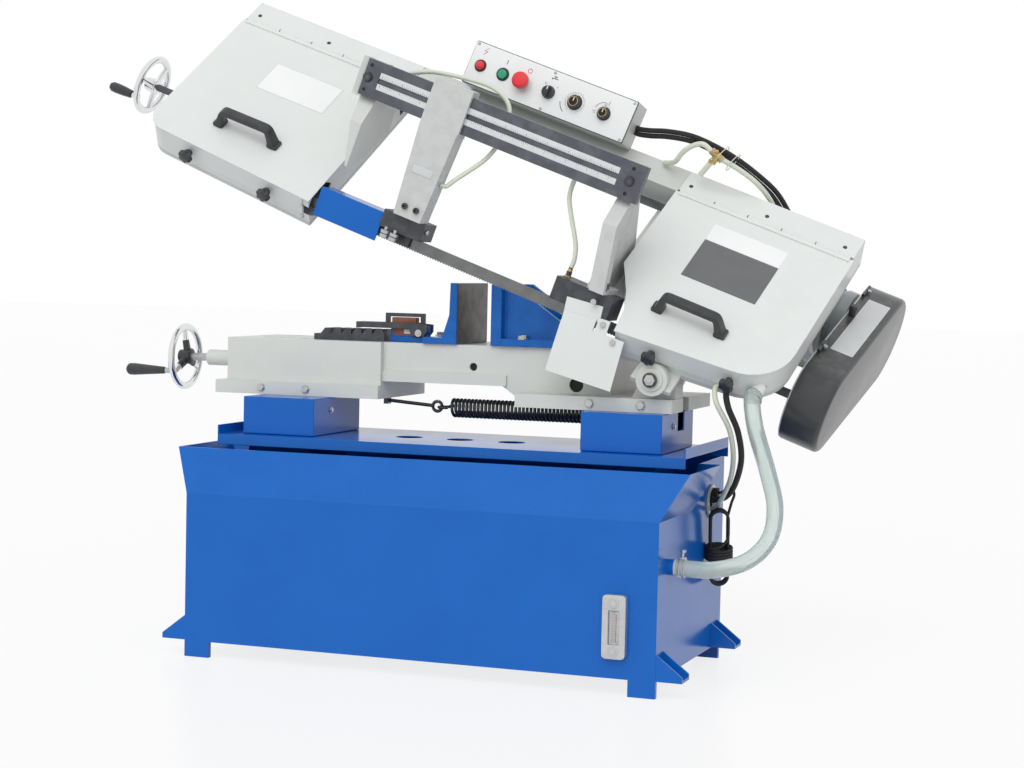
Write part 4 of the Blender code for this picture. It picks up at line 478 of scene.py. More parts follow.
def build_groups():
    """Tone: slow patches of a second colour and fine specks. Relief: paint ripple or cast grain as a height.
    Brushing: long fine lines along one axis. Dust: pale film where a surface faces up and in slow patches."""
    colour, number = "NodeSocketColor", "NodeSocketFloat"
    tree, given, out = new_group("Tone", [
        ("Colour", colour, (0.5, 0.5, 0.5, 1)), ("Second", colour, (0.4, 0.4, 0.4, 1)), ("Share", number, 0.3),
        ("Scale", number, 20.0), ("Roughness", number, 0.4), ("Spread", number, 0.08)],
        [("Colour", colour), ("Roughness", number)])
    where = tree.nodes.new("ShaderNodeTexCoord").outputs["Object"]
    slow = noise(tree, given.outputs["Scale"], 5.0, where)
    fine = noise(tree, 900.0, 2.0, where)
    patch = remap(tree, slow, 0.38, 0.66)
    speck = remap(tree, fine, 0.55, 0.75)
    share = figure(tree, "MULTIPLY", figure(tree, "ADD", patch, figure(tree, "MULTIPLY", speck, 0.5)),
                   given.outputs["Share"])
    tree.links.new(blend_colour(tree, share, given.outputs["Colour"], given.outputs["Second"]), out.inputs["Colour"])
    rough = figure(tree, "ADD", given.outputs["Roughness"],
                   figure(tree, "MULTIPLY", figure(tree, "SUBTRACT", slow, 0.5), given.outputs["Spread"]))
    tree.links.new(rough, out.inputs["Roughness"])

    tree, given, out = new_group("Relief", [("Scale", number, 200.0), ("Fine scale", number, 900.0),
                                            ("Fine share", number, 0.3)],
                                 [("Height", number)])
    where = tree.nodes.new("ShaderNodeTexCoord").outputs["Object"]
    slow = noise(tree, given.outputs["Scale"], 2.0, where)
    fine = noise(tree, given.outputs["Fine scale"], 3.0, where)
    tree.links.new(figure(tree, "ADD", slow, figure(tree, "MULTIPLY", fine, given.outputs["Fine share"])),
                   out.inputs["Height"])

    tree, given, out = new_group("Brushing", [("Stretch", "NodeSocketVector", (1.0, 1.0, 1.0)),
                                              ("Scale", number, 400.0)],
                                 [("Height", number)])
    where = tree.nodes.new("ShaderNodeTexCoord").outputs["Object"]
    mapping = tree.nodes.new("ShaderNodeMapping")
    mapping.inputs["Rotation"].default_value = (0.0, -PIVOT_ANGLE, 0.0)
    tree.links.new(where, mapping.inputs["Vector"])
    tree.links.new(given.outputs["Stretch"], mapping.inputs["Scale"])
    tree.links.new(noise(tree, given.outputs["Scale"], 4.0, mapping.outputs[0]), out.inputs["Height"])

    tree, given, out = new_group("Dust", [("Colour", colour, (0.5, 0.5, 0.5, 1)),
                                          ("Dust", colour, (0.5, 0.48, 0.44, 1)),
                                          ("Amount", number, 0.15)], [("Colour", colour), ("Mask", number)])
    where = tree.nodes.new("ShaderNodeTexCoord").outputs["Object"]
    normal = tree.nodes.new("ShaderNodeNewGeometry").outputs["Normal"]
    split = tree.nodes.new("ShaderNodeSeparateXYZ")
    tree.links.new(normal, split.inputs[0])
    up = remap(tree, split.outputs["Z"], 0.3, 1.0)
    cloud = remap(tree, noise(tree, 35.0, 6.0, where), 0.45, 0.7)
    mask = figure(tree, "MULTIPLY", figure(tree, "MULTIPLY", up, cloud), given.outputs["Amount"])
    tree.links.new(blend_colour(tree, mask, given.outputs["Colour"], given.outputs["Dust"]), out.inputs["Colour"])
    tree.links.new(mask, out.inputs["Mask"])


# name: colour, second colour, share, tone scale, roughness, spread, metallic, relief scale, fine scale, fine share,
#       bump distance (m), coat, dust
FINISHES = {
    "blue_enamel": ((0.004, 0.118, 0.48), (0.003, 0.09, 0.4), 0.25, 9, 0.2, 0.08, 0, 260, 900, 0.25, 0.0001, 0.1,
                    0.03),
    "blue_casting": ((0.006, 0.118, 0.44), (0.004, 0.07, 0.31), 0.4, 30, 0.3, 0.16, 0, 170, 600, 0.6, 0.00045, 0.12,
                     0.05),
    "bed_casting": ((0.6, 0.62, 0.59), (0.53, 0.548, 0.515), 0.22, 16, 0.42, 0.14, 0, 120, 520, 0.5, 0.0005, 0.15,
                    0.16),
    "bow_casting": ((0.56, 0.58, 0.555), (0.48, 0.5, 0.475), 0.28, 14, 0.4, 0.12, 0, 150, 600, 0.5, 0.00035, 0.15,
                    0.1),
    "arm_casting": ((0.545, 0.56, 0.55), (0.43, 0.445, 0.435), 0.38, 40, 0.44, 0.16, 0, 130, 420, 0.7, 0.0006, 0.12,
                    0.1),
    "sheet_paint": ((0.69, 0.715, 0.7), (0.62, 0.645, 0.63), 0.2, 8, 0.36, 0.08, 0, 420, 1400, 0.3, 0.00007, 0.2,
                    0.05),
    "panel_case": ((0.52, 0.545, 0.52), (0.45, 0.47, 0.45), 0.25, 20, 0.4, 0.1, 0, 420, 1400, 0.3, 0.00008, 0.2,
                   0.06),
    "panel_face": ((0.8, 0.815, 0.815), (0.74, 0.76, 0.765), 0.2, 12, 0.34, 0.06, 0, 600, 1600, 0.4, 0.00003, 0.1,
                   0.0),
    "black_moulded": ((0.026, 0.028, 0.031), (0.044, 0.046, 0.05), 0.4, 60, 0.34, 0.16, 0, 700, 2200, 0.8, 0.0001,
                      0.0, 0.06),
    "black_paint": ((0.026, 0.028, 0.03), (0.044, 0.047, 0.05), 0.35, 14, 0.34, 0.12, 0, 300, 1100, 0.5, 0.00016,
                    0.25, 0.1),
    "black_rubber": ((0.018, 0.018, 0.02), (0.03, 0.03, 0.032), 0.4, 40, 0.48, 0.18, 0, 500, 1800, 0.6, 0.00008, 0.0,
                     0.08),
    "blackened_iron": ((0.06, 0.064, 0.072), (0.11, 0.115, 0.125), 0.5, 50, 0.46, 0.22, 0.55, 240, 800, 0.9, 0.00035,
                       0.0, 0.12),
    "spring_steel": ((0.03, 0.032, 0.035), (0.06, 0.063, 0.068), 0.4, 60, 0.3, 0.14, 0.5, 400, 1200, 0.5, 0.00008,
                     0.3, 0.04),
    "slate_steel": ((0.105, 0.108, 0.128), (0.17, 0.176, 0.2), 0.6, 34, 0.4, 0.2, 0.75, 300, 1500, 0.7, 0.00006, 0.0,
                    0.05),
    "ground_steel": ((0.42, 0.42, 0.415), (0.3, 0.298, 0.29), 0.45, 26, 0.34, 0.18, 0.95, 400, 1800, 0.6, 0.00005,
                     0.0, 0.04),
    "band_steel": ((0.2, 0.205, 0.205), (0.13, 0.133, 0.133), 0.5, 30, 0.36, 0.16, 0.85, 300, 1500, 0.7, 0.00005, 0.0,
                   0.0),
    "jaw_steel": ((0.12, 0.116, 0.106), (0.08, 0.076, 0.068), 0.55, 40, 0.5, 0.2, 0.6, 200, 900, 0.8, 0.00018, 0.0,
                  0.05),
    "bare_iron": ((0.23, 0.225, 0.215), (0.15, 0.14, 0.125), 0.5, 30, 0.52, 0.2, 0.6, 200, 800, 0.8, 0.0003, 0.0,
                  0.08),
    "bright_chrome": ((0.78, 0.785, 0.79), (0.69, 0.7, 0.71), 0.25, 18, 0.12, 0.08, 1.0, 500, 1800, 0.4, 0.00003, 0.0,
                      0.0),
    "zinc": ((0.56, 0.565, 0.56), (0.42, 0.425, 0.42), 0.4, 90, 0.34, 0.18, 0.9, 500, 1800, 0.6, 0.00005, 0.0, 0.04),
    "brass": ((0.6, 0.43, 0.18), (0.46, 0.31, 0.12), 0.4, 90, 0.3, 0.16, 1.0, 500, 1800, 0.5, 0.00005, 0.0, 0.03),
    "gauge_alloy": ((0.56, 0.57, 0.575), (0.46, 0.47, 0.475), 0.3, 60, 0.32, 0.12, 0.7, 500, 1600, 0.6, 0.00008, 0.1,
                    0.0),
    "rule_alloy": ((0.64, 0.665, 0.675), (0.56, 0.585, 0.6), 0.35, 50, 0.38, 0.12, 0.35, 600, 1800, 0.5, 0.00003, 0.0,
                   0.0),
    "red_primer": ((0.26, 0.085, 0.055), (0.18, 0.055, 0.035), 0.5, 60, 0.6, 0.16, 0, 200, 700, 0.8, 0.0004, 0.0,
                   0.1),
    "motor_paint": ((0.26, 0.285, 0.295), (0.21, 0.23, 0.24), 0.3, 20, 0.42, 0.12, 0, 220, 800, 0.5, 0.0003, 0.15,
                    0.2),
    "milky_tube": ((0.64, 0.68, 0.57), (0.56, 0.6, 0.47), 0.3, 40, 0.28, 0.1, 0, 300, 1200, 0.4, 0.00005, 0.2, 0.0),
    "green_cap": ((0.01, 0.33, 0.165), (0.008, 0.27, 0.13), 0.3, 80, 0.3, 0.08, 0, 700, 2000, 0.5, 0.00004, 0.2, 0.0),
    "red_cap": ((0.76, 0.03, 0.04), (0.64, 0.02, 0.028), 0.3, 80, 0.32, 0.08, 0, 700, 2000, 0.5, 0.00004, 0.2, 0.0),
    "black_ink": ((0.02, 0.02, 0.022), (0.03, 0.03, 0.032), 0.3, 90, 0.5, 0.08, 0, 900, 2000, 0.5, 0.00002, 0.0, 0.0),
    "red_ink": ((0.62, 0.03, 0.03), (0.52, 0.025, 0.025), 0.3, 90, 0.5, 0.08, 0, 900, 2000, 0.5, 0.00002, 0.0, 0.0),
    "white_film": ((0.82, 0.83, 0.83), (0.77, 0.78, 0.78), 0.25, 30, 0.36, 0.08, 0, 700, 2000, 0.4, 0.00002, 0.0,
                   0.0),
    "grey_film": ((0.125, 0.13, 0.135), (0.1, 0.105, 0.11), 0.3, 30, 0.36, 0.08, 0, 700, 2000, 0.4, 0.00002, 0.0,
                  0.0),
    "pale_film": ((0.56, 0.575, 0.585), (0.5, 0.515, 0.525), 0.3, 30, 0.36, 0.08, 0, 700, 2000, 0.4, 0.00002, 0.0,
                  0.0),
    # painted_gap_shade: near-black matte used as painted shade inside holes, gaps, seams and recesses
    "painted_gap_shade": ((0.012, 0.012, 0.013), (0.02, 0.02, 0.021), 0.3, 30, 0.7, 0.08, 0, 300, 900, 0.4, 0.00004, 0.0, 0.0),
}
SHINE = {"blue_enamel": 0.22, "blue_casting": 0.24, "sheet_paint": 0.35, "panel_face": 0.35}
BRUSHED = {"slate_steel": (8.0, 60.0, 60.0), "ground_steel": (6.0, 80.0, 80.0), "band_steel": (5.0, 80.0, 80.0),
           "rule_alloy": (6.0, 60.0, 60.0), "bright_chrome": (10.0, 30.0, 30.0)}


def group_node(tree, name):
    """One copy of a shared group in a material."""
    node = tree.nodes.new("ShaderNodeGroup")
    node.node_tree = bpy.data.node_groups[name]
    return node


def finish(name):
    """The material of one finish: Tone feeds Dust and the roughness, and Relief or Brushing feeds a bump."""
    found = bpy.data.materials.get(name)
    if found:
        return found
    (colour, second, share, scale, rough, spread, metal, relief, fine, fine_share, lift, coat, dust) = FINISHES[name]
    looks = bpy.context.scene.saw_colours
    colour = {"blue_enamel": looks.stand_blue, "bed_casting": looks.casting_grey}.get(name, colour)
    made = bpy.data.materials.new(name)
    made.use_nodes = True
    tree = made.node_tree
    shader = tree.nodes["Principled BSDF"]
    tone = group_node(tree, "Tone")
    tone.inputs["Colour"].default_value = (*colour[:3], 1)
    tone.inputs["Second"].default_value = (*second, 1)
    for label, value in (("Share", share), ("Scale", scale), ("Roughness", rough), ("Spread", spread)):
        tone.inputs[label].default_value = value
    film = group_node(tree, "Dust")
    film.inputs["Amount"].default_value = dust
    tree.links.new(tone.outputs["Colour"], film.inputs["Colour"])
    tree.links.new(film.outputs["Colour"], shader.inputs["Base Color"])
    tree.links.new(tone.outputs["Roughness"], shader.inputs["Roughness"])
    shader.inputs["Metallic"].default_value = metal
    shader.inputs["Coat Weight"].default_value = coat
    shader.inputs["Coat Roughness"].default_value = 0.12
    shader.inputs["Specular IOR Level"].default_value = SHINE.get(name, 0.5)
    bump = tree.nodes.new("ShaderNodeBump")
    bump.inputs["Strength"].default_value = 0.6
    bump.inputs["Distance"].default_value = lift
    if name in BRUSHED:
        height = group_node(tree, "Brushing")
        height.inputs["Stretch"].default_value = tuple(v / 60 for v in BRUSHED[name])
        height.inputs["Scale"].default_value = relief * 3
    else:
        height = group_node(tree, "Relief")
        height.inputs["Scale"].default_value = relief
        height.inputs["Fine scale"].default_value = fine
        height.inputs["Fine share"].default_value = fine_share
    tree.links.new(height.outputs["Height"], bump.inputs["Height"])
    tree.links.new(bump.outputs["Normal"], shader.inputs["Normal"])
    return made


def clear_finish(name, colour, rough, through, second):
    """A see-through plastic: plain transmission, with Tone for its colour and roughness."""
    made = bpy.data.materials.new(name)
    made.use_nodes = True
    tree = made.node_tree
    shader = tree.nodes["Principled BSDF"]
    tone = group_node(tree, "Tone")
    tone.inputs["Colour"].default_value = (*colour, 1)
    tone.inputs["Second"].default_value = (*second, 1)
    for label, value in (("Share", 0.3), ("Scale", 24.0), ("Roughness", rough), ("Spread", 0.08)):
        tone.inputs[label].default_value = value
    tree.links.new(tone.outputs["Colour"], shader.inputs["Base Color"])
    tree.links.new(tone.outputs["Roughness"], shader.inputs["Roughness"])
    shader.inputs["Transmission Weight"].default_value = through
    shader.inputs["IOR"].default_value = 1.42
    bump = tree.nodes.new("ShaderNodeBump")
    bump.inputs["Distance"].default_value = 0.0002
    bump.inputs["Strength"].default_value = 0.4
    height = group_node(tree, "Relief")
    height.inputs["Scale"].default_value = 40.0
    tree.links.new(height.outputs["Height"], bump.inputs["Height"])
    tree.links.new(bump.outputs["Normal"], shader.inputs["Normal"])
    return made


# ---------------------------------------------------------------- pieces


def piece(name, body, looks, place=STAND, slot=None, replaces=(), angle=38):
    """One object from {finish: [surfaces]}, its points moved by the place, its faces turned outwards and its edges
    kept sharp past the angle."""
    parts, numbers, base, points, faces = [], [], 0, [], []
    for number, surfaces in enumerate(looks.values()):
        for some, more in surfaces:
            points.append(place.at(some))
            faces += [[base + k for k in face] for face in more]
            numbers += [number] * len(more)
            base += len(some)
    mesh = bpy.data.meshes.new(name)
    mesh.from_pydata(np.concatenate(points).tolist(), [], faces)
    for look in looks:
        mesh.materials.append(finish(look) if isinstance(look, str) else look)
    mesh.polygons.foreach_set("material_index", numbers)
    work = bmesh.new()
    work.from_mesh(mesh)
    bmesh.ops.recalc_face_normals(work, faces=work.faces)
    work.to_mesh(mesh)
    work.free()
    return settle(name, mesh, body, slot, replaces, angle)


def settle(name, mesh, body, slot, replaces, angle):
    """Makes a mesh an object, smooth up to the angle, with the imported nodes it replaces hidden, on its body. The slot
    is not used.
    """
    mesh.polygons.foreach_set("use_smooth", [True] * len(mesh.polygons))
    mesh.set_sharp_from_angle(angle=math.radians(angle))
    obj = bpy.data.objects.new(name, mesh)
    bpy.context.scene.collection.objects.link(obj)
    if replaces:
        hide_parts(*replaces)
    if slot or replaces:
        slot or SLOT_OF[replaces[0]]
    if body:
        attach(obj, body)
    return obj


def dressed(node, look, width=0.0012, segments=2, parts=None, crease=32):
    """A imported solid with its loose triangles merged, its flat faces made whole and its sharp edges rounded."""
    source = frame["nodes"][node]
    work = bmesh.new()
    work.from_mesh(source.data)
    bmesh.ops.remove_doubles(work, verts=work.verts, dist=2e-5)
    bmesh.ops.dissolve_limit(work, angle_limit=math.radians(0.8), verts=work.verts, edges=work.edges)
    mesh = bpy.data.meshes.new(node + "_shape")
    work.to_mesh(mesh)
    work.free()
    mesh.materials.clear()
    raw = bpy.data.objects.new(node + "_raw", mesh)
    bpy.context.scene.collection.objects.link(raw)
    bevel = raw.modifiers.new("edges", "BEVEL")
    bevel.width = width
    bevel.segments = segments
    bevel.limit_method = "ANGLE"
    bevel.angle_limit = math.radians(crease)
    bevel.use_clamp_overlap = True
    weighted = raw.modifiers.new("flat faces", "WEIGHTED_NORMAL")
    weighted.mode = "FACE_AREA"
    weighted.weight = 100
    weighted.keep_sharp = False
    raw.data.polygons.foreach_set("use_smooth", [True] * len(mesh.polygons))
    bpy.context.view_layer.update()
    done = bpy.data.meshes.new_from_object(raw.evaluated_get(bpy.context.evaluated_depsgraph_get()))
    bpy.data.objects.remove(raw)
    done.materials.clear()
    done.materials.append(finish(look))
    for number, (more, test) in enumerate(parts or ()):
        done.materials.append(finish(more))
        for face in done.polygons:
            if test(Vector(face.center)):
                face.material_index = number + 1
    obj = bpy.data.objects.new(node + "_finished", done)
    bpy.context.scene.collection.objects.link(obj)
    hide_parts(node)
    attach(obj, BODY_OF[node])
    return obj


# ---------------------------------------------------------------- settings


class SawSizes(bpy.types.PropertyGroup):
    edge: FloatProperty(name="Edge rounding", description="Radius of the rounded edges", default=0.0012,
                        unit="LENGTH")
    tooth_pitch: FloatProperty(name="Tooth pitch", description="Distance between blade teeth", default=0.0064,
                               unit="LENGTH")
    tooth_depth: FloatProperty(name="Tooth depth", description="Depth of a gullet", default=0.0026, unit="LENGTH")
    spring_turns: IntProperty(name="Spring turns", description="Turns of the counter spring", default=38)
    rule_step: FloatProperty(name="Rule step", description="Distance between marks of the rules", default=0.005,
                             unit="LENGTH")


class SawColours(bpy.types.PropertyGroup):
    stand_blue: FloatVectorProperty(name="Stand blue", description="Enamel of the stand", subtype="COLOR",
                                    default=(0.004, 0.118, 0.480), min=0, max=1)
    casting_grey: FloatVectorProperty(name="Casting grey", description="Paint of the bed", subtype="COLOR",
                                      default=(0.600, 0.620, 0.590), min=0, max=1)


class SawOperator:
    bl_options = {"REGISTER"}


# ---------------------------------------------------------------- stage


class SAW_OT_stage(SawOperator, bpy.types.Operator):
    """Sets the pale floor, the soft lamps and the camera"""

    bl_idname = "saw.stage"
    bl_label = "Stage"

    def execute(self, context):
        scene = context.scene
        floor = bpy.data.meshes.new("floor")
        floor.from_pydata([(-30, -30, 0), (30, -30, 0), (30, 30, 0), (-30, 30, 0)], [], [(0, 1, 2, 3)])
        look = bpy.data.materials.new("floor")
        look.use_nodes = True
        tree = look.node_tree
        shader = tree.nodes["Principled BSDF"]
        shader.inputs["Base Color"].default_value = (0.86, 0.86, 0.86, 1)
        shader.inputs["Roughness"].default_value = 0.30
        glow = tree.nodes.new("ShaderNodeEmission")
        mix = tree.nodes.new("ShaderNodeMixShader")
        path = tree.nodes.new("ShaderNodeLightPath")
        share = figure(tree, "MULTIPLY", figure(tree, "MAXIMUM", path.outputs["Is Camera Ray"],
                                                path.outputs["Is Glossy Ray"]), 0.80)
        tree.links.new(share, mix.inputs[0])
        tree.links.new(shader.outputs[0], mix.inputs[1])
        tree.links.new(glow.outputs[0], mix.inputs[2])
        tree.links.new(mix.outputs[0], tree.nodes["Material Output"].inputs["Surface"])
        floor.materials.append(look)
        ground = bpy.data.objects.new("floor", floor)
        scene.collection.objects.link(ground)
        world = bpy.data.worlds.new("studio")
        scene.world = world
        world.use_nodes = True
        tree = world.node_tree
        back = tree.nodes["Background"]
        path = tree.nodes.new("ShaderNodeLightPath")
        seen = figure(tree, "MAXIMUM", path.outputs["Is Camera Ray"],
                      figure(tree, "MAXIMUM", path.outputs["Is Glossy Ray"], path.outputs["Is Transmission Ray"]))
        tree.links.new(remap(tree, seen, 0.0, 1.0, 0.56, 1.0), back.inputs["Strength"])
        back.inputs["Color"].default_value = (1, 1, 1, 1)
        for name, toward, strength, spread in (("key", (-0.06, 0.76, -0.64), 1.66, 55),
                                               ("side", (-0.80, 0.35, -0.45), 0.20, 60)):
            lamp = bpy.data.lights.new(name, "SUN")
            lamp.energy = strength
            lamp.angle = math.radians(spread)
            obj = bpy.data.objects.new(name, lamp)
            obj.rotation_euler = Vector(toward).to_track_quat("-Z", "Y").to_euler()
            obj.visible_glossy = False
            scene.collection.objects.link(obj)
        yaw, pitch, roll = CAMERA_YAW, CAMERA_PITCH, CAMERA_ROLL
        ahead = Vector((-math.sin(yaw) * math.cos(pitch), math.cos(yaw) * math.cos(pitch), math.sin(pitch)))
        right = ahead.cross(Vector((0, 0, 1))).normalized()
        up = right.cross(ahead)
        side = right * math.cos(roll) + up * math.sin(roll)
        top = up * math.cos(roll) - right * math.sin(roll)
        lens = bpy.data.cameras.new("camera")
        lens.lens = CAMERA_LENS
        lens.clip_end = 100
        view = bpy.data.objects.new("camera", lens)
        matrix = view.matrix_world.copy()
        for k in range(3):
            matrix[k][:] = (side[k], top[k], -ahead[k], STAND.at(CAMERA_AT)[k])
        view.matrix_world = matrix
        scene.collection.objects.link(view)
        scene.camera = view
        scene.view_settings.view_transform = "Standard"
        return {"FINISHED"}


# ---------------------------------------------------------------- stand


class SAW_OT_stand(SawOperator, bpy.types.Operator):
    """Finishes the cabinet, the chip pan and the pedestals, with the level gauge and the nozzle"""

    bl_idname = "saw.stand"
    bl_label = "Stand"

    def execute(self, context):
        for node, width in (("cabinet", 0.0014), ("chip_pan", 0.0014), ("left_pedestal", 0.0030),
                            ("right_pedestal", 0.0030)):
            dressed(node, "blue_enamel", width, crease=17)
        bush = STAND.at((0.5345, LEAD[0][1], 0.3705))
        dressed("cable_gland", "milky_tube", 0.0008, parts=[
            ("black_rubber", lambda c: c.x > bush[0] and abs(c.y - bush[1]) < 0.0105 and c.z > bush[2])])
        (x0, x1), (z0, z1) = GAUGE_X, GAUGE_Z
        outer = round_rect(x0, x1, z0, z1, 0.0090)
        window = round_rect(x0 + 0.0125, x1 - 0.0125, z0 + 0.0290, z1 - 0.0310, 0.0020)
        mid = (x0 + x1) / 2
        marks = [(mid - 0.0075, mid + (0.0070 if k % 5 == 0 else 0.0015), z0 + 0.033 + k * 0.0031,
                  z0 + 0.0336 + k * 0.0031)
                 for k in range(21)]
        piece("level_gauge_frame", "stand", {
            "gauge_alloy": [frame_ring(outer, window, -0.0168, -0.0020), slab(outer, -0.0030, -0.0003, 0.0008),
                            slab(round_rect(x0, x1, z0 + 0.001, z0 + 0.0275, 0.006), -0.0176, -0.0150, 0.0014),
                            slab(round_rect(x0, x1, z1 - 0.0285, z1 - 0.001, 0.006), -0.0176, -0.0150, 0.0014)]
            + [s for z in (z0 + 0.0155, z1 - 0.0165)
               for s in (turned([(0, 0.0105), (0.0022, 0.0105), (0.0034, 0.0094)], (mid, -0.0174, z), (0, -1, 0), 32),
                         turned([(0.003, 0.0072), (0.0052, 0.0072), (0.0062, 0.0060)], (mid, -0.0174, z), (0, -1, 0),
                                6))],
            "white_film": [slab(round_rect(mid - 0.0110, mid + 0.0110, z0 + 0.028, z1 - 0.030, 0.001), -0.0085,
                                -0.0060, 0.0003)],
            "red_ink": [bars(marks + [(mid + 0.0020, mid + 0.0034, z0 + 0.033, z1 - 0.040)], -0.0089, -0.0084)],
        }, slot="gauge_metal", replaces=("level_gauge",))
        piece("level_gauge_glass", "stand", {
            clear_finish("clear_window", (0.86, 0.90, 0.90), 0.06, 0.92, (0.80, 0.86, 0.86)):
                [slab(round_rect(mid - 0.0112, mid + 0.0112, z0 + 0.0295, z1 - 0.0315, 0.001), -0.0150, -0.0128,
                      0.0004)],
        }, slot="gauge_metal")
        screws = []
        for x in (-0.2953, 0.4914):
            screws += hex_head((x, 0.2269, 0.532), (1, 0, 0), 0.0055, 0.0040, 0.0075)
        for side in (-1, 1):
            for y in (0.0285, 0.4625):
                screws += [turned([(0, 0.0120), (0.0016, 0.0120), (0.0020, 0.0114)], (side * 0.562, y, 0.0417),
                                  (0, 0, 1), 28)]
        piece("stand_screws", "stand", {"zinc": screws}, slot="ground_steel")
        return {"FINISHED"}


# ---------------------------------------------------------------- bed and vise


class SAW_OT_bed(SawOperator, bpy.types.Operator):
    """Finishes the bed with its bolts and its pivot shaft"""

    bl_idname = "saw.bed"
    bl_label = "Bed"

    def execute(self, context):
        dressed("bed", "bed_casting", 0.0024, 3, parts=[
            ("spring_steel", lambda c: c.z < 0.5595 and -0.20 < c.x - STAND.origin[0] < -0.05)])
        dressed("pivot_shaft", "bed_casting", 0.0006)
        bolts = []
        for x, y in ((-0.465, 0.219), (-0.355, 0.219)):
            bolts += hex_head((x, y, 0.5760), (0, -1, 0), 0.0085, 0.0052, 0.0100)
        for x in (0.322, 0.434):
            bolts += hex_head((x, 0.175, 0.5760), (0, -1, 0), 0.0095, 0.0055, 0.0112)
        piece("bed_bolts", "stand", {"zinc": bolts}, slot="ground_steel")
        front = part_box("pivot_shaft")[0][1] - STAND.origin[1]
        spot = (PIVOT_FROM_STAND[0], front, PIVOT_FROM_STAND[2])
        piece("pivot_nut", "stand", {
            "blackened_iron": [turned([(-0.0002, 0.0158), (0.0012, 0.0158), (0.0016, 0.0150)], spot, (0, -1, 0), 40)],
            "zinc": [turned([(0.0010, 0.0118), (0.0050, 0.0118), (0.0058, 0.0104)], spot, (0, -1, 0), 6),
                     turned([(0.0040, 0.0062), (0.0085, 0.0062), (0.0095, 0.0052)], spot, (0, -1, 0), 24)]},
                     slot="ground_steel")
        # Two near-black discs on the bed's front: painted shade inside its two holes.
        hole_shade_discs = [turned([(0, 0.0088), (0.0012, 0.0088)], (0.032, 0.2560, 0.639), (0, -1, 0), 32),
                 turned([(0, 0.0158), (0.0012, 0.0158)], (0.268, 0.2560, 0.609), (0, -1, 0), 32)]
        piece("bed_holes", "stand", {"painted_gap_shade": hole_shade_discs}, slot="blackened_steel")
        return {"FINISHED"}


def handwheel(centre, big, dish, spokes_at, black_hub):
    """A handwheel on X: a rim, three tapered oval spokes that lean by dish towards the hub, and the hub."""
    x, y, z = centre
    rim = ring(centre, (1, 0, 0), big, 0.0085, 72, 18, 0.86)
    legs, cores = [], []
    for k in range(3):
        q = math.radians(spokes_at + 120 * k)
        out = np.array((0, math.cos(q), math.sin(q)))
        s = np.linspace(0, 1, 9)[:, None]
        path = np.array(centre) + out * (0.010 + (big - 0.012) * s) + np.array((dish, 0, 0)) * (1 - s) ** 2
        legs.append(box_section(path, np.linspace(0.0100, 0.0056, 9), np.linspace(0.0062, 0.0050, 9),
                                np.cross((1, 0, 0), out), 2.6, 16))
        cores.append(box_section(path[:5], 0.0112 - 0.0022 * s[:5, 0] * 2, 0.0068 - 0.001 * s[:5, 0],
                                 np.cross((1, 0, 0), out), 2.6, 16))
    hub = turned([(-0.014, 0.0130), (-0.0125, 0.0150), (0.004, 0.0170), (0.012, 0.0185), (0.0155, 0.0185),
                  (0.017, 0.0165)],
                 centre, (1, 0, 0), 36)
    if black_hub:
        return {"bright_chrome": [rim, *legs], "black_moulded": [hub, *cores]}
    return {"bright_chrome": [rim, *legs, hub]}


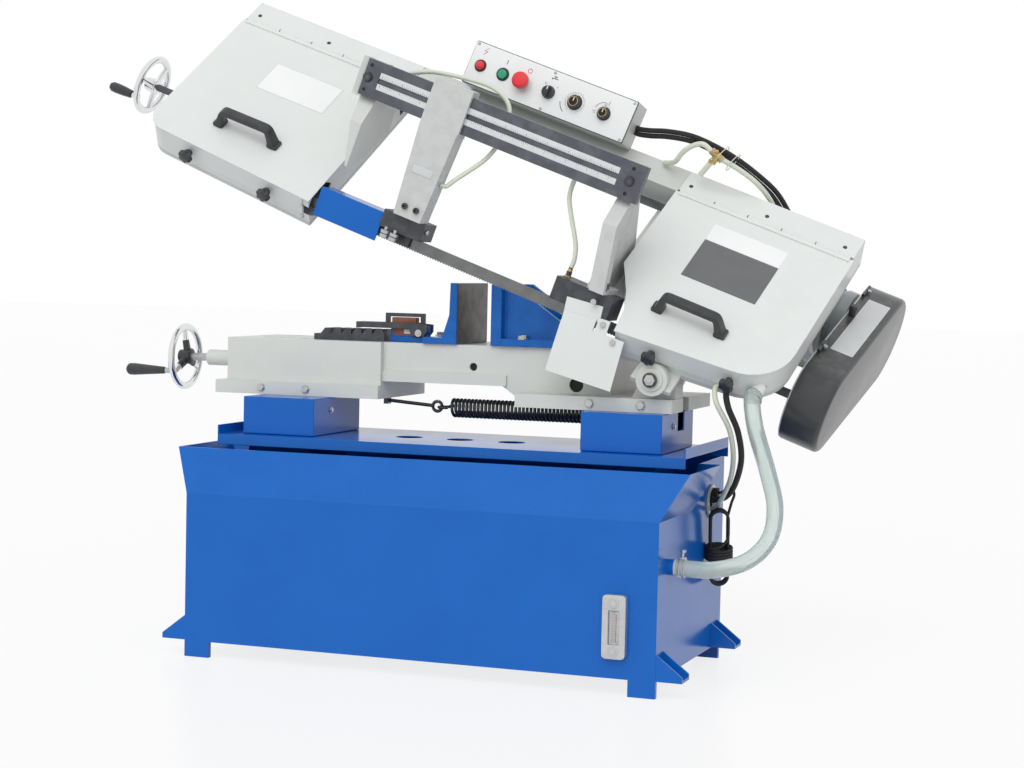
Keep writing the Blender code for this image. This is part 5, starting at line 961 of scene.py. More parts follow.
class SAW_OT_vise(SawOperator, bpy.types.Operator):
    """Finishes the jaws, the rack, the pawl and the vise handwheel"""

    bl_idname = "saw.vise"
    bl_label = "Vise"

    def execute(self, context):
        dressed("vise_rack", "blackened_iron", 0.0008)
        dressed("moving_jaw", "blue_casting", 0.0018, 3, crease=20)
        dressed("fixed_jaw", "blue_casting", 0.0022, 3)
        dressed("pawl_lever", "blackened_iron", 0.0010)
        dressed("vise_screw", "ground_steel", 0.0006)
        pad = round_rect(0.2420, 0.4280, 0.6880, 0.8185, 0.0012)
        for jaw, near, far in (("moving_jaw", MOVING_FACE_X, MOVING_FACE_X + 0.0008),
                               ("fixed_jaw", FIXED_FACE_X - 0.0006, FIXED_FACE_X)):
            piece(jaw + "_face", jaw, {"jaw_steel": [slab(pad, near, far, 0.0003, way="X")]}, slot="blackened_steel")
        piece("moving_jaw_bolt", "moving_jaw", {
            "zinc": hex_head((-0.084, 0.345, 0.7018), (0, 0, 1), 0.0095, 0.0080, 0.0135)}, slot="ground_steel")
        piece("fixed_jaw_bolt", "fixed_jaw", {
            "zinc": hex_head((0.144, 0.2500, 0.7035), (0, 0, 1), 0.0105, 0.0080, 0.0140)}, slot="ground_steel")
        block = slab(round_rect(-0.176, -0.126, 0.7005, 0.7275, 0.002), 0.2896, 0.3104, 0.0010)
        nose = soft_box((-0.180, 0.2902, 0.7225), (-0.122, 0.3098, 0.7405), 0.0015)
        piece("pawl_block", "moving_jaw", {"red_primer": [block]}, slot="gearbox_red")
        piece("pawl_cap", "pawl_lever", {"red_primer": [nose]}, slot="gearbox_red")
        piece("pawl_label", "moving_jaw", {
            "pale_film": [slab(round_rect(-0.150, -0.134, 0.7045, 0.7145, 0.0010), 0.2892, 0.2897, 0.0001)]},
            slot="gearbox_red")
        piece("pawl_pin", "pawl_lever", {
            "zinc": hex_head((-0.112, 0.2788, 0.7070), (0, -1, 0), 0.0042, 0.0014) +
            [turned([(-0.0006, 0.0078), (0.0004, 0.0078)], (-0.112, 0.2788, 0.7070), (0, -1, 0), 28)]},
            slot="ground_steel")
        grip_y, grip_z = SCREW_Y - 0.0594, SCREW_Z - 0.0310
        looks = handwheel((VISE_WHEEL_X, SCREW_Y, SCREW_Z), 0.068, 0.006, 95, True)
        looks["ground_steel"] = [
            turned([(0, 0.0065), (0.018, 0.0065), (0.0190, 0.0055), (0.0200, 0.0033), (0.1160, 0.0033),
                    (0.1162, 0.0058), (0.1186, 0.0060), (0.1200, 0.0040)], (VISE_WHEEL_X, grip_y, grip_z), (-1, 0, 0),
                    24)]
        piece("vise_handwheel_bright", "vise_wheel", looks, replaces=("vise_handwheel",))
        start = VISE_WHEEL_X - 0.0203
        shape = [(0, 0.0036), (0, 0.0072), (0.0015, 0.0080), (0.020, 0.0094), (0.045, 0.0112), (0.070, 0.0131),
                 (0.080, 0.0139), (0.0835, 0.0136), (0.0850, 0.0131), (0.0870, 0.0137), (0.0905, 0.0132),
                 (0.0940, 0.0112), (0.0948, 0.0090), (0.0948, 0.0036)]
        piece("vise_grip_black", "vise_grip", {
            "black_moulded": [turned(shape, (start, grip_y, grip_z), (-1, 0, 0), 72, 18, 0.045)]},
            replaces=("vise_grip",))
        return {"FINISHED"}


# ---------------------------------------------------------------- bow


def cover_plate(name, body, x0, x1, z0, z1, look, place=BOX, depth=0.0005, front=-DOOR_OUT):
    """A thin plate on the front of a cover: a rounded rectangle drawn out by its depth."""
    return piece(name, body, {look: [slab(round_rect(x0, x1, z0, z1, 0.0012), front - depth, front - 0.00002,
                                          0.0001)]},
                 place, slot="cover_grey")


class SAW_OT_bow(SawOperator, bpy.types.Operator):
    """Finishes the bow's castings and wheel boxes with their screws and hinges"""

    bl_idname = "saw.bow"
    bl_label = "Bow and wheel boxes"

    def execute(self, context):
        dressed("bow_frame", "bow_casting", 0.0018, crease=22)
        for node in ("left_wheel_box", "right_wheel_box"):
            dressed(node, "sheet_paint", 0.0008)
        dressed("chip_shield", "sheet_paint", 0.0006, parts=[
            ("zinc", lambda c: np.dot(np.array(c) - BOW.origin, BACK) < 0.0083)])
        dressed("blade_guard", "blue_enamel", 0.0005)
        dressed("belt_guard_back", "bow_casting", 0.0006)
        screws = []
        for x in (-1.2791, -1.0888, -0.898, -0.1541, 0.0284, 0.2116):
            screws += dome_screw((x, -DOOR_OUT, 0.2405), (0, -1, 0), 0.0048, 0.0024)
        piece("strip_screws", "bow", {"black_paint": screws}, BOX, slot="blackened_steel")
        ends = []
        for y in (-0.0176, 0.0193):
            ends += dome_screw((-0.8731, y, -0.2172), (0, 0, -1), 0.0052, 0.0026)
        piece("box_screws", "bow", {"zinc": ends}, BOX, slot="ground_steel")
        # Dark bars between the hinge knuckles and a dark strip along the hinge's top edge: painted shade in the knuckle
        # gaps and in the seam above the hinge.
        hinge_seam_shade, gaps = [], []
        for x0, x1 in ((-1.294, -0.862), (-0.1665, 0.233)):
            knuckles = 5
            step = (x1 - x0) / knuckles
            gaps.append(bars([(x0 + k * step - 0.0007, x0 + k * step + 0.0007, DOOR_TOP - 0.0002, DOOR_TOP + 0.0062)
                              for k in range(1, knuckles)], -DOOR_OUT - 0.0050, -DOOR_OUT - 0.0005))
            hinge_seam_shade.append(bars([(x0, x1, DOOR_TOP + 0.0060, DOOR_TOP + 0.0076)], -DOOR_OUT - 0.0004,
                             -DOOR_OUT + 0.0010))
        piece("hinge_gaps", "bow", {"painted_gap_shade": gaps + hinge_seam_shade}, BOX, slot="blackened_steel")
        return {"FINISHED"}


class SAW_OT_doors(SawOperator, bpy.types.Operator):
    """Finishes the two doors with their handles, knobs and bare plates"""

    bl_idname = "saw.doors"
    bl_label = "Doors"

    def execute(self, context):
        for name, (fx0, fx1), fz, knobs in (
            ("left_door", (-1.152, -1.010), -0.112, (-1.175, -0.960)),
            ("right_door", (-0.055, 0.088), -0.119, (-0.020, 0.150)),
        ):
            dressed(name, "sheet_paint", 0.0007)
            y = -DOOR_OUT - 0.0003
            legs = ((0.001, 0), (0.0045, -0.0160), (0.0090, -0.0320), (0.0118, -0.0385), (0.0165, -0.0422),
                    (0.0250, -0.0430), (0.0450, -0.0430))
            near = [(fx0 + a, y + b, fz) for a, b in legs]
            far = [(fx1 - a, y + b, fz) for a, b in legs[::-1]]
            line = smooth_path(near + far, 5)
            s = np.linspace(-1, 1, len(line))
            wide = 0.0112 + 0.0030 * np.abs(s) ** 6
            thick = 0.0066 + 0.0050 * np.abs(s) ** 5
            bar = box_section(line, wide, thick, (0, 0, 1), 6.0, 24)
            feet, holes = [], []
            for x, way in ((fx0, -1), (fx1, 1)):
                feet.append(slab(round_rect(x - 0.0128, x + 0.0128, fz - 0.0138, fz + 0.0138, 0.0035), y - 0.0075, y,
                                 0.0016))
                holes += cap_screw((x + way * 0.0050, y - 0.0070, fz), (0, -1, 0), 0.0042, 0.0016)
            piece(name + "_grip", BODY_OF[name], {"black_moulded": [bar] + feet, "black_paint": holes}, BOX,
                  replaces=(name + "_handle",))
            for number, x in enumerate(knobs):
                lobes = [(0, 0.0130), (0.0012, 0.0150), (0.0040, 0.0165), (0.0120, 0.0165), (0.0148, 0.0152),
                         (0.0160, 0.0120), (0.0160, 0.0)]
                node = f"{name}_knob_{number + 1}"
                middle = np.mean(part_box(node), axis=0)
                base = (BOX.axes @ (middle - BOX.origin))[2] + KNOB_RISE
                piece(node + "_star", BODY_OF[node], {
                    "black_moulded": [turned(lobes, (x, KNOB_Y, base), (0, 0, -1), 84, 6, 0.20),
                                      turned([(-0.0080, 0.0085), (0.001, 0.0085)], (x, KNOB_Y, base), (0, 0, -1),
                                             32)],
                    "zinc": [turned([(-0.0110, 0.0033), (-0.0075, 0.0033)], (x, KNOB_Y, base), (0, 0, -1), 20)],
                }, BOX, replaces=(node,))
        cover_plate("left_plate", "left_door", -1.150, -0.975, 0.030, 0.120, "white_film")
        cover_plate("left_plate_edge", "left_door", -1.1515, -0.9735, 0.0285, 0.1215, "pale_film", depth=0.0003)
        cover_plate("right_plate_top", "right_door", -0.058, 0.114, 0.112, 0.163, "white_film")
        cover_plate("right_plate", "right_door", -0.058, 0.114, -0.008, 0.111, "grey_film")
        return {"FINISHED"}


# ---------------------------------------------------------------- guides


class SAW_OT_guides(SawOperator, bpy.types.Operator):
    """Finishes the guide bar with its two rules, the sliding arm, the post and the blade guides"""

    bl_idname = "saw.guides"
    bl_label = "Guides"

    def execute(self, context):
        sizes = context.scene.saw_sizes
        dressed("guide_bar", "slate_steel", 0.0007)
        dressed("guide_arm", "arm_casting", 0.0022, 3, crease=9)
        dressed("right_guide_post", "arm_casting", 0.0022, 3, crease=12)
        dressed("left_guide_seat", "blackened_iron", 0.0014)
        dressed("right_guide_seat", "blackened_iron", 0.0014)
        x0, x1 = -0.7915, -0.2180
        rules, marks = [], []
        for z0, z1, ticks in ((0.3685, 0.3815, -1), (0.3440, 0.3570, 1)):
            rules.append(slab(round_rect(x0, x1, z0, z1, 0.0006, 2), BAR_FRONT - 0.0008, BAR_FRONT, 0.0002))
            count = int((x1 - x0 - 0.012) / sizes.rule_step)
            for k in range(count + 1):
                x = x0 + 0.006 + k * sizes.rule_step
                tick = 0.0068 if k % 10 == 0 else (0.0048 if k % 5 == 0 else 0.0030)
                a, b = (z0 + 0.0004, z0 + tick) if ticks < 0 else (z1 - tick, z1 - 0.0004)
                marks.append((x - 0.0003, x + 0.0003, a, b))
        piece("rules", "bow", {"rule_alloy": rules,
                               "black_ink": [bars(marks, BAR_FRONT - 0.00092, BAR_FRONT - 0.0007)]}, BOW,
              slot="ground_steel")
        bolts, holes = [], []
        for x in (-0.8180, -0.1910):
            bolts += cap_screw((x, BAR_FRONT, BAR_MIDDLE), (0, -1, 0), 0.0092, 0.0060)
            bolts += [turned([(-0.001, 0.0118), (0.0008, 0.0118)], (x, BAR_FRONT, BAR_MIDDLE), (0, -1, 0), 36)]
            # Dark discs above and below each bolt: painted shade inside the holes there.
            holes += [turned([(-0.001, 0.0040), (0.0004, 0.0040)], (x, BAR_FRONT, BAR_MIDDLE + s * 0.027), (0, -1, 0),
                             24) for s in (-1, 1)]
        piece("bar_bolts", "bow", {"blackened_iron": bolts, "painted_gap_shade": holes}, BOW, slot="blackened_steel")
        arm = []
        for x in (-0.6337, -0.6058):
            arm += cap_screw((x, -0.0022, 0.1383), (0, -1, 0), 0.0066, 0.0062)
        piece("arm_screws", "guide_arm", {"black_paint": arm}, BOW, slot="blackened_steel")
        piece("arm_plate", "guide_arm", {
            "pale_film": [slab(round_rect(-0.6470, -0.5990, 0.2120, 0.2290, 0.0008), -0.00405, -0.00340, 0.0001)]},
            BOW, slot="casting_grey")
        rollers = []
        for x in (-0.6660, -0.6440):
            for low, high, r in ((0.0560, 0.0640, 0.0098), (0.0648, 0.0728, 0.0104)):
                rollers.append(turned([(low, r - 0.001), (low + 0.0006, r), (high - 0.0006, r), (high, r - 0.001)],
                                      (x, 0.0200, 0), (0, 0, 1), 36))
            rollers.append(turned([(0.0540, 0.0040), (0.0800, 0.0040)], (x, 0.0200, 0), (0, 0, 1), 20))
        piece("left_rollers", "guide_arm", {"zinc": rollers}, BOW, slot="ground_steel")
        piece("left_seat_screw", "guide_arm", {
            "zinc": cap_screw((-0.5845, 0.0420, 0.0980), (1, 0, 0), 0.0050, 0.0040)}, BOW, slot="ground_steel")
        piece("right_seat_detail", "bow", {
            "blackened_iron": [soft_box((-0.1840, 0.0120, 0.1230), (-0.1560, 0.0300, 0.1500), 0.0025)],
            "spring_steel": [coil((-0.1790, 0.0160, 0.1500), (-0.1930, 0.0160, 0.2080), 0.0050, 0.0011, 11)],
            "zinc": [tube([(-0.1785, 0.0160, 0.1460), (-0.1940, 0.0160, 0.2120)], 0.0030, 16)] +
                    cap_screw((-0.1942, 0.0160, 0.2125), (-0.22, 0, 0.97), 0.0052, 0.0050) +
                    [turned([(0.000, 0.0050), (0.010, 0.0060), (0.016, 0.0060)], (-0.1680, 0.0100, 0.1060),
                            (0, -1, 0), 24)],
        }, BOW, slot="blackened_steel")
        piece("seat_fitting", "bow", {
            "brass": [turned([(-0.001, 0.0070), (0.005, 0.0070)], (-0.2560, 0.0500, 0.1250), (0, 0, 1), 6),
                      turned([(0.004, 0.0052), (0.0080, 0.0060), (0.0081, 0.0050), (0.0120, 0.0058), (0.0121, 0.0048),
                              (0.018, 0.0054), (0.0200, 0.0046)], (-0.2560, 0.0500, 0.1250), (0, 0, 1), 28)]}, BOW,
                              slot="ground_steel")
        return {"FINISHED"}


class SAW_OT_band(SawOperator, bpy.types.Operator):
    """Cuts the toothed band that runs round both wheels and stands upright between the guides"""

    bl_idname = "saw.band"
    bl_label = "Band"

    def execute(self, context):
        sizes = context.scene.saw_sizes
        r = BAND_R
        half = sizes.tooth_pitch / 2
        arc = np.linspace(0, math.pi, int(math.pi * r / half) // 2 * 2)
        span = DRIVE_X - IDLER_X
        straight = np.linspace(0, 1, int(span / half) // 2 * 2, endpoint=False)[1:]
        drive = np.stack([DRIVE_X + r * np.sin(arc), 0 * arc, r * np.cos(arc)], 1)
        lower = np.stack([DRIVE_X - span * straight, 0 * straight, -r + 0 * straight], 1)
        idle = np.stack([IDLER_X - r * np.sin(arc), 0 * arc, -r * np.cos(arc)], 1)
        upper = lower[::-1] * (1, 1, -1)
        path = np.concatenate([drive, lower, idle, upper])
        x = path[:, 0]
        near = np.clip((DRIVE_X - 0.03 - x) / (DRIVE_X - 0.06 - GUIDE_RIGHT), 0, 1)
        far = np.clip((x - IDLER_X - 0.03) / (GUIDE_LEFT - IDLER_X - 0.06), 0, 1)
        ease = np.minimum(near * near * (3 - 2 * near), far * far * (3 - 2 * far))
        ease[path[:, 2] > -r + 1e-6] = 0
        angle = (math.pi / 2 - WHEEL_LEAN) * ease
        wide = np.stack([0 * x, np.cos(angle), -np.sin(angle)], 1)
        tangent = np.roll(path, -1, 0) - np.roll(path, 1, 0)
        tangent /= np.linalg.norm(tangent, axis=1)[:, None]
        thick = np.cross(tangent, wide)
        thick /= np.linalg.norm(thick, axis=1)[:, None]
        tooth = np.where(np.arange(len(path)) % 2 == 0, 0.0, sizes.tooth_depth)[:, None]
        body, gullet, back = BAND_HALF_W - sizes.tooth_depth - 0.0008, BAND_HALF_W - tooth, -BAND_HALF_W
        full, edge = thick * BAND_HALF_T, thick * 0.0002
        rows = np.stack([path + wide * back - full, path + wide * body - full, path + wide * gullet - edge,
                         path + wide * gullet + edge, path + wide * body + full, path + wide * back + full], 1)
        piece("toothed_band", "bow", {"band_steel": [skin(rows, along=True)]}, BOX, replaces=("blade",), angle=50)
        for node in ("idler_wheel", "drive_wheel", "gearbox_pulley", "motor_pulley", "idler_carriage"):
            dressed(node, "bare_iron" if node != "idler_carriage" else "blackened_iron", 0.0006)
        dressed("gearbox", "red_primer", 0.0030)
        dressed("v_belt", "black_rubber", 0.0010)
        return {"FINISHED"}


# ---------------------------------------------------------------- drive


def two_circles(nose, nose_r, tail, tail_r, steps=20):
    """The outline of a belt round two circles: the arc of each that faces away from the other."""
    nose, tail = np.array(nose), np.array(tail)
    run = tail - nose
    slope = math.atan2(run[1], run[0])
    spread = math.acos((nose_r - tail_r) / np.linalg.norm(run))
    a = np.linspace(slope + spread, slope + 2 * math.pi - spread, steps)
    b = np.linspace(slope - spread, slope + spread, steps)
    return np.concatenate([np.stack([nose[0] + nose_r * np.cos(a), nose[1] + nose_r * np.sin(a)], 1),
                           np.stack([tail[0] + tail_r * np.cos(b), tail[1] + tail_r * np.sin(b)], 1)])


class SAW_OT_drive(SawOperator, bpy.types.Operator):
    """Finishes the belt guard, the motor and the tension handwheel"""

    bl_idname = "saw.drive"
    bl_label = "Drive"

    def execute(self, context):
        c0, c1, wall = GUARD_X + GUARD_GAP, GUARD_X + GUARD_DEPTH, GUARD_WALL
        outline = two_circles(NOSE, NOSE_R, TAIL, TAIL_R)
        q = np.linspace(0, math.pi / 2, 6)
        soft = 0.010
        stations = ([(soft * (1 - math.sin(a)), c1 - soft * (1 - math.cos(a))) for a in q] + [(0.0, c0), (wall, c0)]
                    + [(wall + (soft - wall) * (1 - math.sin(a)),
                        c1 - wall - (soft - wall) * (1 - math.cos(a))) for a in q[::-1]])
        rows = []
        for shrink, x in stations:
            flat = inset(outline, shrink)
            rows.append(np.stack([np.full(len(flat), x), flat[:, 0], flat[:, 1]], 1))
        shell = skin(rows)
        run = np.array(TAIL) - np.array(NOSE)
        edge = math.atan2(run[1], run[0]) + math.asin((TAIL_R - NOSE_R) / np.linalg.norm(run))
        along = np.array((math.cos(edge), math.sin(edge)))
        up = np.array((-along[1], along[0]))
        first = np.array(NOSE) + up * (NOSE_R + 0.0045)
        hinges, screws = [], []
        for start, end in ((0.050, 0.095), (0.335, 0.380)):
            a, b = first + along * start, first + along * end
            hinges.append(tube([(c0 + 0.003, *a), (c0 + 0.003, *(a + (b - a) * 0.48))], 0.0037, 18))
            hinges.append(tube([(c0 + 0.003, *(a + (b - a) * 0.52)), (c0 + 0.003, *b)], 0.0037, 18))
            m = (a + b) / 2 - up * 0.0060
            hinges.append(slab(np.array([a, b, b - up * 0.0072, a - up * 0.0072]), c0 + 0.0015, c0 + 0.0042, 0.0004,
                               way="X"))
            screws += [turned([(0, 0.0050), (0.0045, 0.0050), (0.0055, 0.0042)], (c0 + 0.010, *(m + up * 0.0052)),
                              (0, *up), 6)]
        knob_at = first + along * 0.245 - up * 0.006
        knob = turned([(0, 0.0075), (0.004, 0.0085), (0.018, 0.0090), (0.0235, 0.0086), (0.0258, 0.0070),
                       (0.0262, 0.0)],
                      (c0 + 0.0095, *knob_at), (0, *up), 32)
        piece("belt_cover_shell", "belt_cover", {"black_paint": [shell] + hinges, "zinc": screws,
                                                 "black_moulded": [knob]}, BOW,
              slot="guard_black", replaces=("belt_cover",), angle=44)
        flat = Place(BOW.at((0, *(np.array(NOSE) + up * NOSE_R))), (BOW.axes[0], BOW.axes[1:].T @ along,
                                                                    BOW.axes[1:].T @ up))
        piece("belt_cover_plate", "belt_cover", {
            "rule_alloy": [slab(round_rect(c0 + 0.0187, c0 + 0.0700, 0.0830, 0.3350, 0.0012), 0.00002, 0.00025,
                                0.0001, way="Z")],
            "pale_film": [slab(round_rect(c0 + 0.0210, c0 + 0.0677, 0.0853, 0.3327, 0.0010), 0.00020, 0.00040, 0.0001,
                               way="Z")],
        }, flat, slot="guard_black")
        dressed("motor", "motor_paint", 0.0012)
        fins = []
        for k in range(32):
            a = 2 * math.pi * k / 32
            out = np.array((0, math.cos(a), math.sin(a)))
            path = np.array([(0.026, MOTOR_Y, MOTOR_Z), (0.200, MOTOR_Y, MOTOR_Z)]) + out * 0.0775
            fins.append(box_section(path, 0.0024, 0.0011, out, 6, 8))
        piece("motor_fins", "bow", {"motor_paint": fins}, BOX, slot="motor_grey")
        looks = handwheel((TENSION_X, TENSION_Y, 0), 0.062, 0.010, 95, False)
        q = math.radians(-95)
        gy, gz = TENSION_Y + 0.054 * math.cos(q), 0.054 * math.sin(q)
        looks["bright_chrome"].append(turned([(0, 0.0078), (0.010, 0.0082), (0.016, 0.0070), (0.018, 0.0060)],
                                             (TENSION_X, gy, gz), (-1, 0, 0), 32))
        looks["black_moulded"] = [turned([(0.018, 0.0070), (0.020, 0.0092), (0.040, 0.0112), (0.060, 0.0120),
                                          (0.072, 0.0112), (0.0775, 0.0080),
                                          (0.0778, 0.0)], (TENSION_X, gy, gz), (-1, 0, 0), 60, 15, 0.04)]
        looks["slate_steel"] = [turned([(0, 0.0080), (TENSION_END - TENSION_X, 0.0080)], (TENSION_X, TENSION_Y, 0),
                                       (1, 0, 0), 28),
                                turned([(0, 0.0128), (0.0008, 0.0130), (0.0135, 0.0130)], (-1.316, TENSION_Y, 0),
                                       (1, 0, 0), 32)]
        piece("tension_handwheel_bright", "tension_wheel", looks, BOX, replaces=("tension_handwheel",))
        return {"FINISHED"}


# ---------------------------------------------------------------- controls


class SAW_OT_controls(SawOperator, bpy.types.Operator):
    """Builds the control box with its face plate, buttons, dials and signs"""

    bl_idname = "saw.controls"
    bl_label = "Controls"

    def execute(self, context):
        x0, x1 = -0.729, -0.322
        lamp, start, stop, switch, dial, valve = -0.698, -0.641, -0.590, -0.525, -0.459, -0.387
        z = CONTROL_Z
        collars, rims = [], []
        for x, r in ((start, 0.0150), (switch, 0.0150), (lamp, 0.0140)):
            collars.append(turned([(-0.002, r), (0.0024, r), (0.0030, r - 0.0008), (0.0030, r - 0.0028),
                                   (0.0015, r - 0.0034)], (x, 0, z), (0, -1, 0), 44))
        collars.append(turned([(-0.002, 0.0120), (0.014, 0.0120)], (stop, 0, z), (0, -1, 0), 36))
        screws = []
        for x in (x0 + 0.008, (x0 + x1) / 2 - 0.002, x1 - 0.008):
            for h in (0.007, 0.093):
                screws += dome_screw((x, -0.0012, h), (0, -1, 0), 0.0036, 0.0018)
        lens = turned([(0.002, 0.0100), (0.0065, 0.0100), (0.0095, 0.0090), (0.0115, 0.0062), (0.0120, 0.0)],
                      (lamp, 0, z), (0, -1, 0), 40)
        piece("control_case", "bow", {
            "panel_case": [slab(round_rect(x0, x1, 0.0, 0.100, 0.004), 0.0030, 0.0762, 0.0020)],
            # Near-black slab behind the face plate's rim: painted shade in the seam between the face plate and the
            # case.
            "painted_gap_shade": [slab(round_rect(x0 + 0.0010, x1 - 0.0010, 0.0010, 0.0990, 0.0035), 0.0004, 0.0040, 0.0003)],
            "panel_face": [slab(round_rect(x0 + 0.0022, x1 - 0.0022, 0.0024, 0.0976, 0.0030), -0.0012, 0.0008,
                                0.0004)],
            "black_moulded": collars, "zinc": screws, "red_cap": [lens],
        }, PANEL, slot="black_plastic", replaces=("control_box",))
        piece("start_cap", "start_button", {"green_cap": [turned(
            [(-0.012, 0.0105), (0.0070, 0.0105), (0.0082, 0.0098), (0.0086, 0.0085), (0.0080, 0.0)], (start, 0, z),
            (0, -1, 0), 44)]},
            PANEL, replaces=("start_button",))
        piece("stop_cap", "stop_button", {"red_cap": [turned(
            [(-0.012, 0.0105), (0.0150, 0.0105), (0.0165, 0.0170), (0.0180, 0.0188), (0.0235, 0.0192),
             (0.0268, 0.0184), (0.0288, 0.0158), (0.0297, 0.0110), (0.0300, 0.0)], (stop, 0, z), (0, -1, 0), 56)]},
             PANEL, replaces=("stop_button",))
        bar = soft_box((switch - 0.0042, -0.0205, z - 0.0118), (switch + 0.0042, -0.0100, z + 0.0118), 0.0016)
        piece("switch_knob", "coolant_switch", {
            "black_moulded": [turned([(-0.015, 0.0060), (0.0034, 0.0060), (0.0034, 0.0138), (0.0050, 0.0142),
                                      (0.0110, 0.0136), (0.0122, 0.0122),
                                      (0.0122, 0.0)], (switch, 0, z), (0, -1, 0), 48), bar],
            "white_film": [bars([(switch - 0.0010, switch + 0.0010, z + 0.0030, z + 0.0112)], -0.0208, -0.0204)]},
            PANEL, replaces=("coolant_switch",))
        for name, x, big, slot_piece in (("feed_dial", dial, 0.0178, "dial_knob"),
                                         ("feed_valve", valve, 0.0160, "valve_knob")):
            looks = {
                "black_moulded": [turned([(-0.015, 0.0045), (0.0003, 0.0045), (0.0003, big - 0.001), (0.0012, big),
                                          (0.0030, big), (0.0048, big * 0.84),
                                          (0.0150, big * 0.76), (0.0168, big * 0.70)], (x, 0, z), (0, -1, 0), 64, 24,
                                          0.05)],
                "brass": [ring((x, -0.0170, z), (0, 1, 0), big * 0.58, 0.0010, 44, 10)],
                # Dark disc on the knob's face: painted shade in the recess at its centre.
                "painted_gap_shade": [turned([(0.0150, big * 0.52), (0.0172, big * 0.52)], (x, 0, z), (0, -1, 0), 32)],
                "white_film": [soft_box((x - 0.0009, -0.0190, z + 0.0005), (x + 0.0009, -0.0168, z + big * 0.50),
                                        0.0003),
                               bars([(x - 0.0008, x + 0.0008, z + big * 0.74, z + big * 0.98)], -0.0058, -0.0020)]}
            if name == "feed_valve":
                looks["zinc"] = [tube([(x, -0.0120, z + 0.004), (x, -0.0120, z + 0.0235)], 0.0022, 14)]
            piece(slot_piece, name, looks, PANEL, replaces=(name,))
        y0, y1 = -0.00135, -0.0011
        black = [stroke([(start, z + 0.0240), (start, z + 0.0340)], 0.0016, y0, y1)]
        flash = [(lamp + 0.0040, z + 0.0430), (lamp - 0.0045, z + 0.0345), (lamp + 0.0035, z + 0.0345),
                 (lamp - 0.0040, z + 0.0255)]
        red = [stroke(flash[k:k + 2], 0.0011, y0, y1) for k in range(3)] + [
            stroke(arc_points(stop + 0.0065, z + 0.0290, 0.0048, 0, 350, 30), 0.0015, y0, y1)]
        tap = [[(switch - 0.004, z + 0.0330), (switch + 0.010, z + 0.0330)],
               [(switch - 0.004, z + 0.0335), (switch - 0.004, z + 0.0290)],
               [(switch + 0.003, z + 0.0330), (switch + 0.003, z + 0.0375)],
               [(switch - 0.0005, z + 0.0375), (switch + 0.0065, z + 0.0375)]]
        black += [stroke(line, 0.0018, y0, y1) for line in tap]
        black += [stroke(arc_points(switch - 0.0135, z + 0.0170, 0.0022, 0, 350, 20), 0.0006, y0, y1),
                  stroke([(switch + 0.0150, z + 0.0150), (switch + 0.0165, z + 0.0190)], 0.0009, y0, y1)]
        for k in range(31):
            t = math.radians(240 - k * 10)
            inner, outer = 0.0212, 0.0240 if k % 3 else 0.0256
            black.append(stroke([(dial + inner * math.cos(t), z + inner * math.sin(t)),
                                 (dial + outer * math.cos(t), z + outer * math.sin(t))],
                                0.0004, y0, y1))
        black.append(stroke(arc_points(dial, z, 0.0212, -60, 240, 60), 0.0004, y0, y1))
        black.append(stroke(arc_points(dial, z, 0.0340, 196, 236, 20), 0.0016, y0, y1))
        black.append(stroke(arc_points(valve, z, 0.0250, 100, 165, 24), 0.0010, y0, y1))
        black += [stroke([(valve + 0.0030, z + 0.0215), (valve + 0.0040, z + 0.0300)], 0.0009, y0, y1),
                  stroke([(valve - 0.0275, z - 0.0010), (valve - 0.0205, z - 0.0005)], 0.0009, y0, y1),
                  stroke([(valve - 0.0260, z - 0.0050), (valve - 0.0200, z - 0.0042)], 0.0009, y0, y1)]
        piece("panel_signs", "bow", {"black_ink": black, "red_ink": red}, PANEL, slot="black_plastic")
        return {"FINISHED"}


# ---------------------------------------------------------------- cords

def hank_path(top, bottom, facing, bend, pitch, turns):
    """One line wound up and down as a racetrack and then round its own middle. The racetrack has straight runs of
    length L joined by half circles of radius bend, and moves through the hank by one pitch each turn. The wrap is a
    helix of radius bend + 1.35 * pitch, and a cubic with matched tangents leads from one into the other."""
    top, bottom = np.array(top), np.array(bottom)
    length = np.linalg.norm(bottom - top)
    down = (bottom - top) / length
    side = np.array(facing) - down * np.dot(facing, down)
    side /= np.linalg.norm(side)
    deep = np.cross(down, side)
    run = length - 2 * bend
    lap = 2 * run + 2 * math.pi * bend
    ending = turns * lap + run * 0.25
    s = np.linspace(0, ending, 64 * turns)
    u = s % lap
    low = (u - run) / bend
    high = (u - 2 * run - math.pi * bend) / bend
    across_it = np.select([u < run, low < math.pi, high < 0], [bend + 0 * u, bend * np.cos(low), -bend + 0 * u],
                          -bend * np.cos(high))
    down_it = np.select([u < run, low < math.pi, high < 0], [u, run + bend * np.sin(low),
                                                             run - (u - run - math.pi * bend)],
                        -bend * np.sin(high))
    through = pitch * turns * (s / ending - 0.5)
    start = top + down * bend
    track = start + np.outer(across_it, side) + np.outer(down_it, down) + np.outer(through, deep)
    r, first = bend + 1.35 * pitch, math.radians(150)
    t = np.linspace(0, 2 * math.pi * 4.6, 130)
    level = run * 0.25 + 0.030 + pitch * 1.05 * t / (2 * math.pi)
    wrap = start + np.outer(r * np.cos(first + t), side) + np.outer(r * np.sin(first + t), deep) + np.outer(level,
        down)
    p0, p1 = track[-1], wrap[0]
    m0, m1 = down * 0.075, (wrap[1] - wrap[0]) / np.linalg.norm(wrap[1] - wrap[0]) * 0.085
    q = np.linspace(0, 1, 16)[1:-1, None]
    bridge = ((2 * q**3 - 3 * q**2 + 1) * p0 + (q**3 - 2 * q**2 + q) * m0
              + (3 * q**2 - 2 * q**3) * p1 + (q**3 - q**2) * m1)
    return np.concatenate([track, bridge, wrap])


